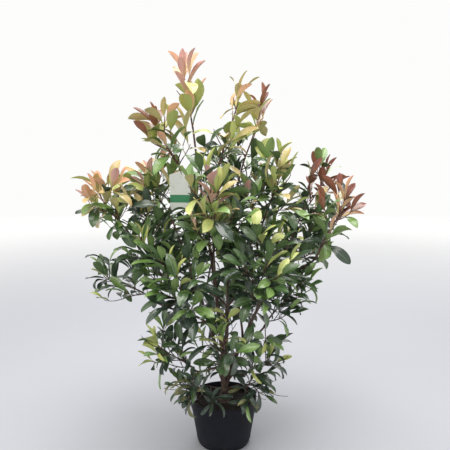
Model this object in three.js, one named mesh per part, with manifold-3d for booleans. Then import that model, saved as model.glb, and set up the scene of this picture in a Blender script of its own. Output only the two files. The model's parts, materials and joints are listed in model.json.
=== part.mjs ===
// Photinia Red Robin, a shrub 1.5 m tall, in its round nursery pot.
// Millimetres, +Z up, -Y front, origin under the middle of the pot.
import * as THREE from "three";
import { mergeVertices } from "three/addons/utils/BufferGeometryUtils.js";
import Module from "manifold-3d";

const wasm = await Module();
wasm.setup();

// ---------- Driving dimensions ----------

const CLEARANCE = 0.3; // between pieces that meet
const GOLDEN_ANGLE = Math.PI * (3 - Math.sqrt(5)); // turn from one leaf or twig to the next
const UP = new THREE.Vector3(0, 0, 1);

const POT = {
  height: 180,
  rimRadius: 127,
  baseRadius: 101,
  wall: 3,
  floor: 9,
  lipHeight: 38,
  lipStep: 3, // how far the lip stands out from the wall under it
  baseRound: 9,
  sides: 32,
  notches: 8, // drainage slots round the foot
  notchWidth: 16,
  notchHeight: 7,
  notchDepth: 8,
};
const SOIL = { top: 158, crown: 4, flatRadius: 45 };
const TRUNK = { height: 52, buried: 12, lean: [4, -3], radius: 15, flare: 14, sides: 9, steps: 6 };

const LIMB = { sides: 6, stepLength: 115, neckRadius: 3.6 };
const STEM = { steps: 3, tipRadius: 1.7, sides: 3 };
const TWIG = { radius: 2.4, tipRadius: 1.6, steps: 1, lean: 0.95, lift: 0.35, first: 0.1, last: 0.8 };
const LEAF = { length: 104, width: 42, thick: 2.2, fold: 5, widest: 0.56, droop: 6, sunk: 0.4 };
const ROW = {
  perTwig: 3,
  onStem: 5,
  first: 0.35,
  last: 0.97,
  footLean: 1.15,
  tipLean: 0.5,
  lift: 0.25,
  roll: 0.9,
  shifts: [0, 0.6, -0.6, 1.2],
};
const SPACE = { samples: 5, slack: 15 };
const SIMPLIFY = [0.08, 0.1, 0.12, 0.15]; // a mass takes the first of these finishes that leaves it sound
const LABEL = {
  limb: "left_upper",
  upLastStretch: 0.85, // the share of the limb's last straight stretch that lies below its ring
  width: 86,
  height: 128,
  thick: 1,
  turn: -0.2,
  tilt: 0.08,
  wire: 1,
};
const TAB = { width: 6, height: 14 };

// Each shoot is a limb and the leaves past its end: the limb it leaves and how far up that limb, its radius
// there, its neck, where the leaves begin, its tip, where the stem ends, how far its twigs spread, and how
// many twigs it has.
function shoot(name, from, at, foot, neck, tip, spread, twigs) {
  return { name, from, at, foot, neck, tip, spread, twigs };
}
const SHOOTS = [
  shoot("leader", "trunk", 0.8, 8.5, [-108, 5, 1170], [-142, 0, 1390], 50, 4),
  shoot("left_shoulder", "trunk", 0.7, 8, [-185, 70, 820], [-300, 110, 1040], 95, 6),
  shoot("right_red", "trunk", 0.72, 8, [275, 45, 830], [392, 75, 1040], 85, 5),
  shoot("back_high", "trunk", 0.75, 7.5, [25, 140, 820], [45, 265, 1060], 110, 5),
  shoot("front_high", "trunk", 0.65, 7, [-35, -120, 770], [-42, -235, 980], 115, 6),

  shoot("right_upper", "leader", 0.6, 5.2, [-20, -20, 1050], [55, -30, 1315], 60, 5),
  shoot("right_tall", "leader", 0.52, 4.4, [60, 60, 1020], [140, 55, 1285], 65, 5),
  shoot("left_upper", "leader", 0.68, 4.8, [-158, -38, 1055], [-240, -45, 1210], 85, 5),
  shoot("core_left", "leader", 0.42, 4.6, [-60, -55, 630], [-15, -75, 870], 115, 6),

  shoot("right_mid", "right_red", 0.5, 4.6, [130, -45, 820], [205, -50, 1050], 100, 6),
  shoot("right_outer", "right_red", 0.66, 4.6, [340, -85, 760], [420, -105, 945], 75, 5),
  shoot("right_flank", "right_red", 0.5, 4.8, [235, 95, 620], [345, 150, 810], 110, 6),
  shoot("core_right", "right_red", 0.3, 4.6, [60, 15, 550], [92, -15, 830], 115, 6),
  shoot("right_lower", "right_red", 0.3, 4.4, [150, -45, 470], [285, -60, 670], 100, 6),
  shoot("right_low", "right_red", 0.14, 4, [85, -40, 285], [170, -70, 360], 75, 5),

  shoot("left_outer", "left_shoulder", 0.66, 4.6, [-315, -50, 780], [-432, -110, 975], 80, 6),
  shoot("left_flank", "left_shoulder", 0.55, 4.6, [-180, -85, 600], [-275, -140, 800], 100, 6),
  shoot("left_lower", "left_shoulder", 0.4, 4.6, [-290, 40, 560], [-470, 50, 660], 85, 5),
  shoot("left_low", "left_shoulder", 0.14, 4.2, [-110, -50, 305], [-250, -75, 425], 85, 5),

  shoot("front_left", "front_high", 0.5, 4.4, [-110, -140, 530], [-150, -265, 710], 110, 6),
  shoot("front_right", "front_high", 0.52, 4.4, [85, -140, 570], [140, -265, 760], 115, 6),
  shoot("front_low", "front_high", 0.25, 4.2, [5, -115, 350], [0, -240, 490], 110, 6),

  shoot("back_left", "back_high", 0.5, 4.6, [-130, 165, 610], [-235, 300, 790], 120, 5),
  shoot("back_right", "back_high", 0.5, 4.6, [140, 165, 610], [250, 290, 790], 120, 5),
  shoot("back_low", "back_high", 0.25, 4.4, [15, 120, 360], [25, 270, 510], 115, 5),

  shoot("skirt_left", "trunk", 0.8, 4.2, [-48, -30, 228], [-130, -85, 260], 95, 6),
  shoot("skirt_right", "trunk", 0.8, 4.2, [52, -25, 232], [135, -75, 265], 95, 6),
  shoot("skirt_back", "trunk", 0.8, 4.2, [5, 55, 232], [15, 140, 270], 95, 6),
];

const FINISHES = {
  pot: { color: 0x1f2027, roughness: 0.55, metalness: 0 },
  soil: { color: 0x2e221b, roughness: 0.95, metalness: 0 },
  bark: { color: 0x4a3832, roughness: 0.85, metalness: 0 },
  label: { color: 0xe8ebe2, roughness: 0.5, metalness: 0 },
  leaf: { color: 0x4f7039, roughness: 0.4, metalness: 0 },
  flush: { color: 0xb9694a, roughness: 0.4, metalness: 0 },
};
const FLUSHED = "leader left_upper right_upper right_tall right_red right_outer left_outer".split(" ");

// ---------- Solids ----------

const vector = ([x, y, z]) => new THREE.Vector3(x, y, z);
const mix = THREE.MathUtils.lerp;

// A closed geometry as a manifold-3d solid.
function solidFrom(geometry, tolerance = 1e-4) {
  const bare = geometry.clone();
  bare.deleteAttribute("normal");
  bare.deleteAttribute("uv");
  const merged = mergeVertices(bare, tolerance);
  return new wasm.Manifold(
    new wasm.Mesh({
      numProp: 3,
      vertProperties: new Float32Array(merged.attributes.position.array),
      triVerts: new Uint32Array(merged.index.array),
    }),
  );
}

function geometryFrom(solid) {
  const mesh = solid.getMesh();
  const geometry = new THREE.BufferGeometry();
  geometry.setAttribute("position", new THREE.BufferAttribute(mesh.vertProperties, mesh.numProp));
  geometry.setIndex(new THREE.BufferAttribute(mesh.triVerts, 1));
  geometry.computeVertexNormals();
  return geometry;
}

// The outer skin of the largest body: loose scraps go, and sealed hollows are filled.
function largestBody(solid) {
  const bodies = solid.decompose();
  return bodies.reduce((best, body) => (body.volume() > best.volume() ? body : best));
}

// Whether each edge belongs to two faces once points closer than a hair are taken as one.
function isSound(solid) {
  const hair = geometryFrom(solidFrom(geometryFrom(solid), 1e-3));
  const index = mergeVertices(hair.deleteAttribute("normal"), 1e-4).index.array;
  const edges = new Map();
  for (let i = 0; i < index.length; i += 3) {
    for (let side = 0; side < 3; side++) {
      const edge = `${index[i + side]} ${index[i + ((side + 1) % 3)]}`;
      edges.set(edge, (edges.get(edge) ?? 0) + 1);
    }
  }
  const back = (edge) => edge.split(" ").reverse().join(" ");
  return [...edges].every(([edge, count]) => count === 1 && edges.get(back(edge)) === 1);
}

// Fuses wood and leaves into one smooth body, with fewer leaves where no finish leaves it sound.
function fuse(wood, leaves) {
  const fused = wasm.Manifold.union([...wood, ...leaves].map((piece) => piece.solid));
  for (const tolerance of SIMPLIFY) {
    const body = largestBody(fused.simplify(tolerance));
    if (isSound(body)) return body;
  }
  console.warn("a leaf is left out");
  return fuse(wood, leaves.slice(1));
}

// A cylinder bent along a curve, its radius a function of the share of the length.
function bentTube(curve, radiusAt, sides, steps) {
  const geometry = new THREE.CylinderGeometry(1, 1, 1, sides, steps);
  const frames = curve.computeFrenetFrames(steps, false);
  const position = geometry.attributes.position;
  const point = new THREE.Vector3();
  for (let i = 0; i < position.count; i++) {
    const step = Math.round((position.getY(i) + 0.5) * steps);
    const radius = radiusAt(step / steps);
    curve.getPointAt(step / steps, point);
    point.addScaledVector(frames.binormals[step], position.getX(i) * radius);
    point.addScaledVector(frames.normals[step], position.getZ(i) * radius);
    position.setXYZ(i, point.x, point.y, point.z);
  }
  return solidFrom(geometry);
}

// A curve that leaves start along one way and reaches end along another.
function bend(start, startWay, end, endWay) {
  const pull = start.distanceTo(end) / 3;
  return new THREE.CubicBezierCurve3(
    start,
    start.clone().addScaledVector(startWay, pull),
    end.clone().addScaledVector(endWay, -pull),
    end,
  );
}

// The same numbers for the same seed, from 0 to 1.
function seeded(seed) {
  let state = seed >>> 0;
  return () => {
    state = (state + 0x6d2b79f5) >>> 0;
    let value = Math.imul(state ^ (state >>> 15), state | 1);
    value ^= value + Math.imul(value ^ (value >>> 7), value | 61);
    return ((value ^ (value >>> 14)) >>> 0) / 2 ** 32;
  };
}

// ---------- Pot and soil ----------

function lathed(profile, sides) {
  const geometry = new THREE.LatheGeometry(
    profile.map(([radius, height]) => new THREE.Vector2(radius, height)),
    sides,
  );
  return solidFrom(geometry.rotateX(Math.PI / 2));
}

const lipFoot = POT.height - POT.lipHeight;

// The radius of the pot's outer wall, which stands upright behind the lip.
function wallRadius(height) {
  return mix(POT.baseRadius, POT.rimRadius - POT.lipStep, Math.min(height / lipFoot, 1));
}

function makePot() {
  const inner = (height) => wallRadius(height) - POT.wall;
  const shell = lathed(
    [
      [0, 0],
      [wallRadius(0) - POT.baseRound, 0],
      [wallRadius(0) - POT.baseRound * 0.3, POT.baseRound * 0.3],
      [wallRadius(POT.baseRound), POT.baseRound],
      [wallRadius(lipFoot), lipFoot],
      [POT.rimRadius - POT.lipStep * 0.3, lipFoot],
      [POT.rimRadius, POT.height - 2],
      [POT.rimRadius - 1, POT.height],
      [inner(lipFoot), POT.height],
      [inner(lipFoot), lipFoot],
      [inner(POT.floor), POT.floor],
      [0, POT.floor],
    ],
    POT.sides,
  );
  const notch = new THREE.BoxGeometry(POT.notchDepth * 2, POT.notchWidth, POT.notchHeight * 2);
  notch.translate(POT.baseRadius, 0, 0);
  const turnOf = (i) => ((i + 0.5) * 2 * Math.PI) / POT.notches;
  const notches = Array.from({ length: POT.notches }, (_, i) => solidFrom(notch.clone().rotateZ(turnOf(i))));
  return shell.subtract(wasm.Manifold.union(notches));
}

function makeSoil() {
  const foot = POT.floor + CLEARANCE;
  const slack = POT.wall + 2 * CLEARANCE;
  return lathed(
    [
      [0, foot],
      [wallRadius(foot) - slack, foot],
      [wallRadius(lipFoot) - slack, lipFoot],
      [wallRadius(SOIL.top - SOIL.crown) - slack, SOIL.top - SOIL.crown],
      [SOIL.flatRadius, SOIL.top],
      [0, SOIL.top],
    ],
    POT.sides,
  );
}

// ---------- Trunk and limbs ----------

// Every limb is kept with its curve, its radius, and a copy that is fatter by the clearance, which cuts what
// comes after it.
const limbs = new Map();

function keepLimb(name, curve, radiusAt, sides, steps, before) {
  const solid = bentTube(curve, radiusAt, sides, steps);
  const fat = bentTube(curve, (share) => radiusAt(share) + CLEARANCE, sides, steps);
  const cut = before ? largestBody(solid.subtract(before)) : solid;
  if (cut.volume() < 0.6 * solid.volume()) console.warn(`${name} is cut short by another limb`);
  limbs.set(name, { curve, radiusAt, steps, solid: cut, fat });
}

// The trunk flares toward a flat cut on the soil.
function growTrunk() {
  const foot = new THREE.Vector3(0, 0, SOIL.top - TRUNK.buried);
  const fork = new THREE.Vector3(...TRUNK.lean, SOIL.top + TRUNK.height);
  const curve = new THREE.LineCurve3(foot, fork);
  const radiusAt = (share) => TRUNK.radius + TRUNK.flare * (1 - share) ** 3;
  keepLimb("trunk", curve, radiusAt, TRUNK.sides, TRUNK.steps);
  const trunk = limbs.get("trunk");
  trunk.solid = trunk.solid.trimByPlane([0, 0, 1], SOIL.top + CLEARANCE);
}

// The way a shoot heads at its neck: toward its tip, a little more upright.
function neckWay(shoot) {
  return vector(shoot.tip).sub(vector(shoot.neck)).normalize().addScaledVector(UP, 0.35).normalize();
}

function growLimb(shoot) {
  const parent = limbs.get(shoot.from);
  const start = parent.curve.getPointAt(shoot.at);
  const neck = vector(shoot.neck);
  const along = parent.curve.getTangentAt(shoot.at);
  const across = neck.clone().sub(start).normalize();
  const curve = bend(start, across.add(along).normalize(), neck, neckWay(shoot));
  const steps = Math.max(3, Math.round(curve.getLength() / LIMB.stepLength));
  const radiusAt = (share) => mix(shoot.foot, LIMB.neckRadius, share);
  const before = wasm.Manifold.union([...limbs.values()].map((limb) => limb.fat));
  keepLimb(shoot.name, curve, radiusAt, LIMB.sides, steps, before);
}

// A plain card on a tab, hung in front of its limb by a ring of wire round the limb's last straight stretch.
function makeLabel() {
  const { curve, radiusAt, steps } = limbs.get(LABEL.limb);
  const lastBend = 1 - 1 / steps;
  const bottom = curve.getPointAt(lastBend);
  const stretch = curve.getPointAt(1).sub(bottom);
  const hang = bottom.addScaledVector(stretch, LABEL.upLastStretch);
  const ringRadius = radiusAt(mix(lastBend, 1, LABEL.upLastStretch)) + 2 * CLEARANCE + LABEL.wire;
  const ring = new THREE.TorusGeometry(ringRadius, LABEL.wire, 4, 10);
  ring.applyQuaternion(new THREE.Quaternion().setFromUnitVectors(UP, stretch.normalize()));
  const tab = new THREE.BoxGeometry(TAB.width, LABEL.thick, TAB.height);
  const card = new THREE.BoxGeometry(LABEL.width, LABEL.thick, LABEL.height);
  tab.translate(0, 0, -TAB.height / 2);
  card.translate(0, 0, -TAB.height * 0.9 - LABEL.height / 2);
  for (const plate of [tab, card]) {
    plate.rotateX(LABEL.tilt).rotateZ(LABEL.turn).translate(0, -ringRadius, 0);
  }
  const pieces = [ring, tab, card].map((geometry) => solidFrom(geometry.translate(...hang.toArray())));
  return wasm.Manifold.union(pieces);
}

// ---------- Leaves ----------

// A leaf of eight faces: pointed ends, widest past the middle, folded up along its midrib, its tip bent down.
// Its base is at the origin, it points along +X and its upper side faces +Z.
function leafShape() {
  const geometry = new THREE.OctahedronGeometry(1, 0);
  const position = geometry.attributes.position;
  for (let i = 0; i < position.count; i++) {
    const [x, y, z] = [position.getX(i), position.getY(i), position.getZ(i)].map(Math.round);
    position.setXYZ(
      i,
      x === 0 ? LEAF.length * LEAF.widest : (LEAF.length * (x + 1)) / 2,
      (y * LEAF.width) / 2,
      x > 0 ? -LEAF.droop : Math.abs(y) * LEAF.fold + (z * LEAF.thick) / 2,
    );
  }
  return geometry;
}
const LEAF_SHAPE = leafShape();

function leafSolid(base, way, face, roll, size) {
  const normal = face.clone().addScaledVector(way, -face.dot(way)).normalize().applyAxisAngle(way, roll);
  const side = normal.clone().cross(way);
  const frame = new THREE.Matrix4().makeBasis(way, side, normal);
  frame.scale(new THREE.Vector3(size, size, size)).setPosition(base.clone().addScaledVector(way, -LEAF.sunk));
  return solidFrom(LEAF_SHAPE.clone().applyMatrix4(frame));
}

// A way that leans from a curve's own way, turned about it.
function leanFrom(along, turn, lean, lift) {
  const side = new THREE.Vector3(1, 0, 0).cross(along).normalize().applyAxisAngle(along, turn);
  const way = along.clone().multiplyScalar(Math.cos(lean)).addScaledVector(side, Math.sin(lean));
  return way.addScaledVector(UP, lift).normalize();
}

// ---------- Masses of leaves ----------

function boxesMeet(a, b) {
  return a.min.every((low, axis) => low < b.max[axis] && b.min[axis] < a.max[axis]);
}

// A solid with its box, so that pieces far apart are told apart at once.
function boxed(solid) {
  return { solid, box: solid.boundingBox() };
}

function crosses(piece, others) {
  const near = others.filter((other) => boxesMeet(piece.box, other.box));
  return near.some((other) => !piece.solid.intersect(other.solid).isEmpty());
}

// The stem of a mass goes on from the limb's neck. A mass keeps to the space that is nearer to its own stem
// than to any other's, and what would leave that space, or touch another piece, is left out.
class Mass {
  constructor(shoot, index) {
    this.shoot = shoot;
    this.random = seeded(1000 + index * 77);
    const way = neckWay(shoot);
    const start = vector(shoot.neck).addScaledVector(way, CLEARANCE);
    const tip = vector(shoot.tip);
    const tipWay = tip.clone().sub(start).normalize().add(UP).normalize();
    this.stem = bend(start, way, tip, tipWay);
    this.spine = this.stem.getSpacedPoints(SPACE.samples);
    const radiusAt = (share) => mix(LIMB.neckRadius, STEM.tipRadius, share);
    this.wood = [{ curve: this.stem, ...boxed(bentTube(this.stem, radiusAt, STEM.sides, STEM.steps)) }];
    this.leaves = [];
  }

  spreadOut(low, high) {
    return mix(low, high, this.random());
  }

  distanceTo(point) {
    return Math.min(...this.spine.map((place) => place.distanceTo(point)));
  }

  keepsSpace(point) {
    const own = this.distanceTo(point) - SPACE.slack;
    return this.others.every((mass) => mass.distanceTo(point) > own);
  }

  addTwig(share, turn, length) {
    const start = this.stem.getPointAt(share);
    const way = leanFrom(this.stem.getTangentAt(share), turn, TWIG.lean, 0);
    const end = start.clone().addScaledVector(way, length).addScaledVector(UP, length * TWIG.lift);
    const curve = bend(start, way, end, way.clone().addScaledVector(UP, 2 * TWIG.lift).normalize());
    const radiusAt = (along) => mix(TWIG.radius, TWIG.tipRadius, along);
    const twig = { curve, ...boxed(bentTube(curve, radiusAt, STEM.sides, TWIG.steps)) };
    if (this.keepsSpace(end) && !crosses(twig, this.obstacles)) this.wood.push(twig);
  }

  // Adds a leaf unless something is in its way: it is then turned a little, and at last left out.
  addLeaf(twig, share, turn, lean) {
    const along = twig.curve.getTangentAt(share);
    const base = twig.curve.getPointAt(share);
    const face = along.clone().multiplyScalar(0.6).add(UP);
    const inTheWay = [...this.leaves, ...this.wood.filter((piece) => piece !== twig), ...this.obstacles];
    for (const shift of ROW.shifts) {
      const way = leanFrom(along, turn + shift, lean, ROW.lift * this.spreadOut(-0.2, 1.4));
      const size = this.spreadOut(0.8, 1.08);
      const reach = base.clone().addScaledVector(way, LEAF.length * LEAF.widest * size);
      const leaf = boxed(leafSolid(base, way, face, this.spreadOut(-ROW.roll, ROW.roll), size));
      if (this.keepsSpace(reach) && !crosses(leaf, inTheWay)) {
        this.leaves.push(leaf);
        return;
      }
    }
  }

  // A row of leaves that turns about its twig and closes up toward the tip.
  addRow(twig, count) {
    const firstTurn = this.spreadOut(0, 2 * Math.PI);
    for (let i = 0; i < count; i++) {
      const share = mix(ROW.first, ROW.last, Math.sqrt(i / (count - 1)));
      const lean = mix(ROW.footLean, ROW.tipLean, i / (count - 1)) * this.spreadOut(0.8, 1.2);
      this.addLeaf(twig, share, firstTurn + i * GOLDEN_ANGLE, lean);
    }
  }

  grow(masses, obstacles) {
    this.others = masses.filter((mass) => mass !== this);
    this.obstacles = [...obstacles, ...this.others.map((mass) => mass.grown ?? mass.wood[0])];
    const { spread, twigs } = this.shoot;
    const firstTurn = this.spreadOut(0, 2 * Math.PI);
    for (let i = 0; i < twigs; i++) {
      const share = mix(TWIG.first, TWIG.last, i / (twigs - 1));
      const length = spread * mix(1, 0.6, share) * this.spreadOut(0.8, 1.1);
      this.addTwig(share, firstTurn + i * GOLDEN_ANGLE, length);
    }
    for (const twig of this.wood) this.addRow(twig, twig.curve === this.stem ? ROW.onStem : ROW.perTwig);
    this.grown = boxed(fuse(this.wood, this.leaves));
    return this.grown.solid;
  }
}

// ---------- Assembly ----------

function makePart() {
  const group = new THREE.Group();
  group.name = "photinia_in_pot";
  const place = (name, solid, finish) => {
    const mesh = new THREE.Mesh(geometryFrom(solid), new THREE.MeshStandardMaterial(FINISHES[finish]));
    mesh.name = name;
    group.add(mesh);
  };
  const pot = makePot();
  const soil = makeSoil();
  place("pot", pot, "pot");
  place("soil", soil, "soil");
  growTrunk();
  place("trunk", limbs.get("trunk").solid, "bark");
  for (const shoot of SHOOTS) {
    growLimb(shoot);
    place(`bough_${shoot.name}`, limbs.get(shoot.name).solid, "bark");
  }
  const label = makeLabel();
  place("label", label, "label");
  const obstacles = [pot, soil, label, ...[...limbs.values()].map((limb) => limb.fat)].map(boxed);
  const masses = SHOOTS.map((shoot, index) => new Mass(shoot, index));
  for (const mass of masses) {
    const { name } = mass.shoot;
    place(`leaves_${name}`, mass.grow(masses, obstacles), FLUSHED.includes(name) ? "flush" : "leaf");
  }
  console.log(masses.reduce((sum, mass) => sum + mass.leaves.length, 0), "leaves");
  return group;
}

const part = makePart();
export default part;
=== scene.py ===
"""A photinia with red young shoots, 1.5 m tall, in its round nursery pot: finishes and fine shapes.

Metres, +Z up, -Y front, the origin under the middle of the pot. The limbs, twigs and leaves grow by the
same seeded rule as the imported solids, and the rule is carried on to finer twigs and life-size leaves.
"""

import json
import logging
import math
from dataclasses import dataclass, field
from enum import Enum
from typing import Callable, Iterable

import bmesh
import bpy
import numpy as np
from bpy.types import Material, Node, NodeSocket, Object
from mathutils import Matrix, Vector, noise
from mathutils.bvhtree import BVHTree

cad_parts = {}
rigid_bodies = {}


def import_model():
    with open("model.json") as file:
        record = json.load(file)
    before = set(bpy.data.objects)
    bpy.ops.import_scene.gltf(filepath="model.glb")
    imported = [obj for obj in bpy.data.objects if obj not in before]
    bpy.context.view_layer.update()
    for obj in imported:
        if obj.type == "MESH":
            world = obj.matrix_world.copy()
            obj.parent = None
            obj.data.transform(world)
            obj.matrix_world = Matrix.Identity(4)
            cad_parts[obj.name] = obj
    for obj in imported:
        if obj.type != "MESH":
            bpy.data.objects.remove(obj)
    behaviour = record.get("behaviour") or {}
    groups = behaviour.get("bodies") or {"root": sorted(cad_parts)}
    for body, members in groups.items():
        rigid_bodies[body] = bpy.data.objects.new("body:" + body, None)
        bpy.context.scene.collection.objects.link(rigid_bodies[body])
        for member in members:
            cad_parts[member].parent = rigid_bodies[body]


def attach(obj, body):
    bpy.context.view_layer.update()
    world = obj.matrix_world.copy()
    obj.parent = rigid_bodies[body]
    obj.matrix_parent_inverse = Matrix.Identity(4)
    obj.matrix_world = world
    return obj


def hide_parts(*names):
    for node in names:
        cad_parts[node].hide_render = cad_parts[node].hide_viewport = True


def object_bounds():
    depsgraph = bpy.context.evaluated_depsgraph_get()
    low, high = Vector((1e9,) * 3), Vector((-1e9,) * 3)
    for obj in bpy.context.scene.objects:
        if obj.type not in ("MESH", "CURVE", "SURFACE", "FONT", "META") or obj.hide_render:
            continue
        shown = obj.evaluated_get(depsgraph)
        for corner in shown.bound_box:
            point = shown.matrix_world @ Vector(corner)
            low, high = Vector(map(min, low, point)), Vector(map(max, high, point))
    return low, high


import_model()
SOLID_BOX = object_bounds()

LOG = logging.getLogger("photinia")
MM = 0.001
GOLDEN_ANGLE = math.pi * (3 - math.sqrt(5))  # turn from one leaf or twig to the next
UP = np.array([0.0, 0.0, 1.0])
LEAF_MAP = "OFBake"  # the UV map of the leaves: every leaf of a piece lies on the same place of it

Array = np.ndarray
Point = tuple[float, float, float]
Face = tuple[int, ...]
Chart = list[tuple[float, float]]  # the map places of one face's corners


# ---------- Numbers ----------


def mix(low: float, high: float, share: float) -> float:
    """The number a share of the way from low to high."""
    return low + (high - low) * share


def unit(way: Array) -> Array:
    """The same way with a length of one."""
    return way / np.linalg.norm(way)


def smooth(low: float, high: float, value: Array | float) -> Array | float:
    """A soft step from 0 at low to 1 at high."""
    share = np.clip((value - low) / (high - low), 0, 1)
    return share * share * (3 - 2 * share)


def turned(way: Array, axis: Array, angle: float) -> Array:
    """A way turned about an axis of length one.

    Args:
        way: the way to turn.
        axis: the axis, of length one.
        angle: the turn in radians.

    Returns:
        The turned way.
    """
    return (
        way * math.cos(angle)
        + np.cross(axis, way) * math.sin(angle)
        + axis * np.dot(axis, way) * (1 - math.cos(angle))
    )


def lean_from(along: Array, turn: float, lean: float, lift: float) -> Array:
    """A way turned about a curve, leaning from it by an angle, with a share of the upward way added."""
    side = turned(unit(np.cross([1.0, 0.0, 0.0], along)), along, turn)
    return unit(along * math.cos(lean) + side * math.sin(lean) + UP * lift)


class Dice:
    """The same numbers for the same seed."""

    def __init__(self, seed: int) -> None:
        """Starts the row of numbers at a seed."""
        self.state = seed & 0xFFFFFFFF

    def roll(self) -> float:
        """Rolls once.

        Returns:
            The next number from 0 to 1.
        """
        self.state = (self.state + 0x6D2B79F5) & 0xFFFFFFFF
        value = ((self.state ^ (self.state >> 15)) * (self.state | 1)) & 0xFFFFFFFF
        value ^= (value + ((value ^ (value >> 7)) * (value | 61))) & 0xFFFFFFFF
        return ((value ^ (value >> 14)) & 0xFFFFFFFF) / 2**32

    def between(self, low: float, high: float) -> float:
        """The next number, from low to high."""
        return mix(low, high, self.roll())

    def chance(self, share: float) -> bool:
        """True for about that share of the calls."""
        return self.roll() < share


class Bend:
    """A curve that leaves its start along one way and reaches its end along another.

    A share of the curve is a share of its length.
    """

    STEPS = 200
    NUDGE = 0.002

    def __init__(self, start: Array, start_way: Array, end: Array, end_way: Array) -> None:
        """Sets the curve's four knots and measures it.

        Args:
            start: the first point.
            start_way: the way there, of length one.
            end: the last point.
            end_way: the way there, of length one.
        """
        pull = np.linalg.norm(end - start) / 3
        self.knots = np.array([start, start + start_way * pull, end - end_way * pull, end])
        self.times = np.linspace(0, 1, self.STEPS + 1)
        pieces = np.diff(self.raw(self.times), axis=0)
        self.lengths = np.concatenate([[0], np.cumsum(np.linalg.norm(pieces, axis=1))])
        self.length = float(self.lengths[-1])

    def raw(self, times: Array) -> Array:
        """The points at the cubic's own times.

        Args:
            times: the times, from 0 to 1.

        Returns:
            One row for each point.
        """
        t = np.atleast_1d(times)[:, None]
        a, b, c, d = self.knots
        return (1 - t) ** 3 * a + 3 * (1 - t) ** 2 * t * b + 3 * (1 - t) * t**2 * c + t**3 * d

    def points(self, shares: Array) -> Array:
        """The points at shares of the length."""
        return self.raw(np.interp(np.asarray(shares) * self.length, self.lengths, self.times))

    def point(self, share: float) -> Array:
        """The point at one share of the length."""
        return self.points(np.array([share]))[0]

    def way(self, share: float) -> Array:
        """The curve's way at one share of the length."""
        low, high = max(share - self.NUDGE, 0), min(share + self.NUDGE, 1)
        return unit(self.point(high) - self.point(low))


# ---------- Meshes from arrays ----------


@dataclass(frozen=True)
class Shape:
    """A closed shape as arrays: each face is a run of corners.

    Attributes:
        vertices: one row for each vertex.
        corners: the vertex of each corner, face after face.
        sizes: how many corners each face has.
        places: the map place of each corner.
        slots: the material slot of each face.
    """

    vertices: Array
    corners: Array
    sizes: Array
    places: Array
    slots: Array

    def moved(self, vertices: Array) -> "Shape":
        """The same faces on other vertices."""
        return Shape(vertices, self.corners, self.sizes, self.places, self.slots)


def shape_from(
    vertices: list[Array] | Array,
    faces: list[Face],
    places: list[Chart] | None = None,
    slots: list[int] | None = None,
) -> Shape:
    """Packs plain lists as a shape.

    Args:
        vertices: the vertices.
        faces: the vertices of each face, in turn.
        places: for each face, the map place of each corner.
        slots: for each face, its material slot.

    Returns:
        The shape.
    """
    sizes = np.array([len(f) for f in faces])
    flat = [place for face in places for place in face] if places else np.zeros((sizes.sum(), 2))
    return Shape(
        np.array(vertices, float),
        np.array([corner for face in faces for corner in face]),
        sizes,
        np.array(flat, float),
        np.array(slots if slots else [0] * len(faces)),
    )


def joined(shapes: Iterable[Shape]) -> Shape:
    """Joins shapes to one.

    Args:
        shapes: the shapes, of which there is at least one.

    Returns:
        The one shape.
    """
    kept = list(shapes)
    starts = np.cumsum([0] + [len(s.vertices) for s in kept[:-1]])
    return Shape(
        np.concatenate([s.vertices for s in kept]),
        np.concatenate([s.corners + start for s, start in zip(kept, starts)]),
        np.concatenate([s.sizes for s in kept]),
        np.concatenate([s.places for s in kept]),
        np.concatenate([s.slots for s in kept]),
    )


def piece_from(name: str, shape: Shape, sharp: float = 60) -> Object:
    """Makes a smooth-shaded piece of the arrays.

    Args:
        name: the piece's name.
        shape: its faces.
        sharp: edges that turn more than this, in degrees, stay sharp.

    Returns:
        The piece.
    """
    mesh = bpy.data.meshes.new(name)
    mesh.vertices.add(len(shape.vertices))
    mesh.loops.add(len(shape.corners))
    mesh.polygons.add(len(shape.sizes))
    mesh.vertices.foreach_set("co", shape.vertices.astype(np.float32).ravel())
    mesh.loops.foreach_set("vertex_index", shape.corners.astype(np.int32))
    starts = np.concatenate([[0], np.cumsum(shape.sizes)[:-1]])
    mesh.polygons.foreach_set("loop_start", starts.astype(np.int32))
    mesh.polygons.foreach_set("material_index", shape.slots.astype(np.int32))
    mesh.update(calc_edges=True)
    layer = mesh.uv_layers.new(name=LEAF_MAP)
    layer.uv.foreach_set("vector", shape.places.astype(np.float32).ravel())
    mesh.shade_smooth()
    mesh.set_sharp_from_angle(angle=math.radians(sharp))
    piece = bpy.data.objects.new(name, mesh)
    bpy.context.scene.collection.objects.link(piece)
    return piece


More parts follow.
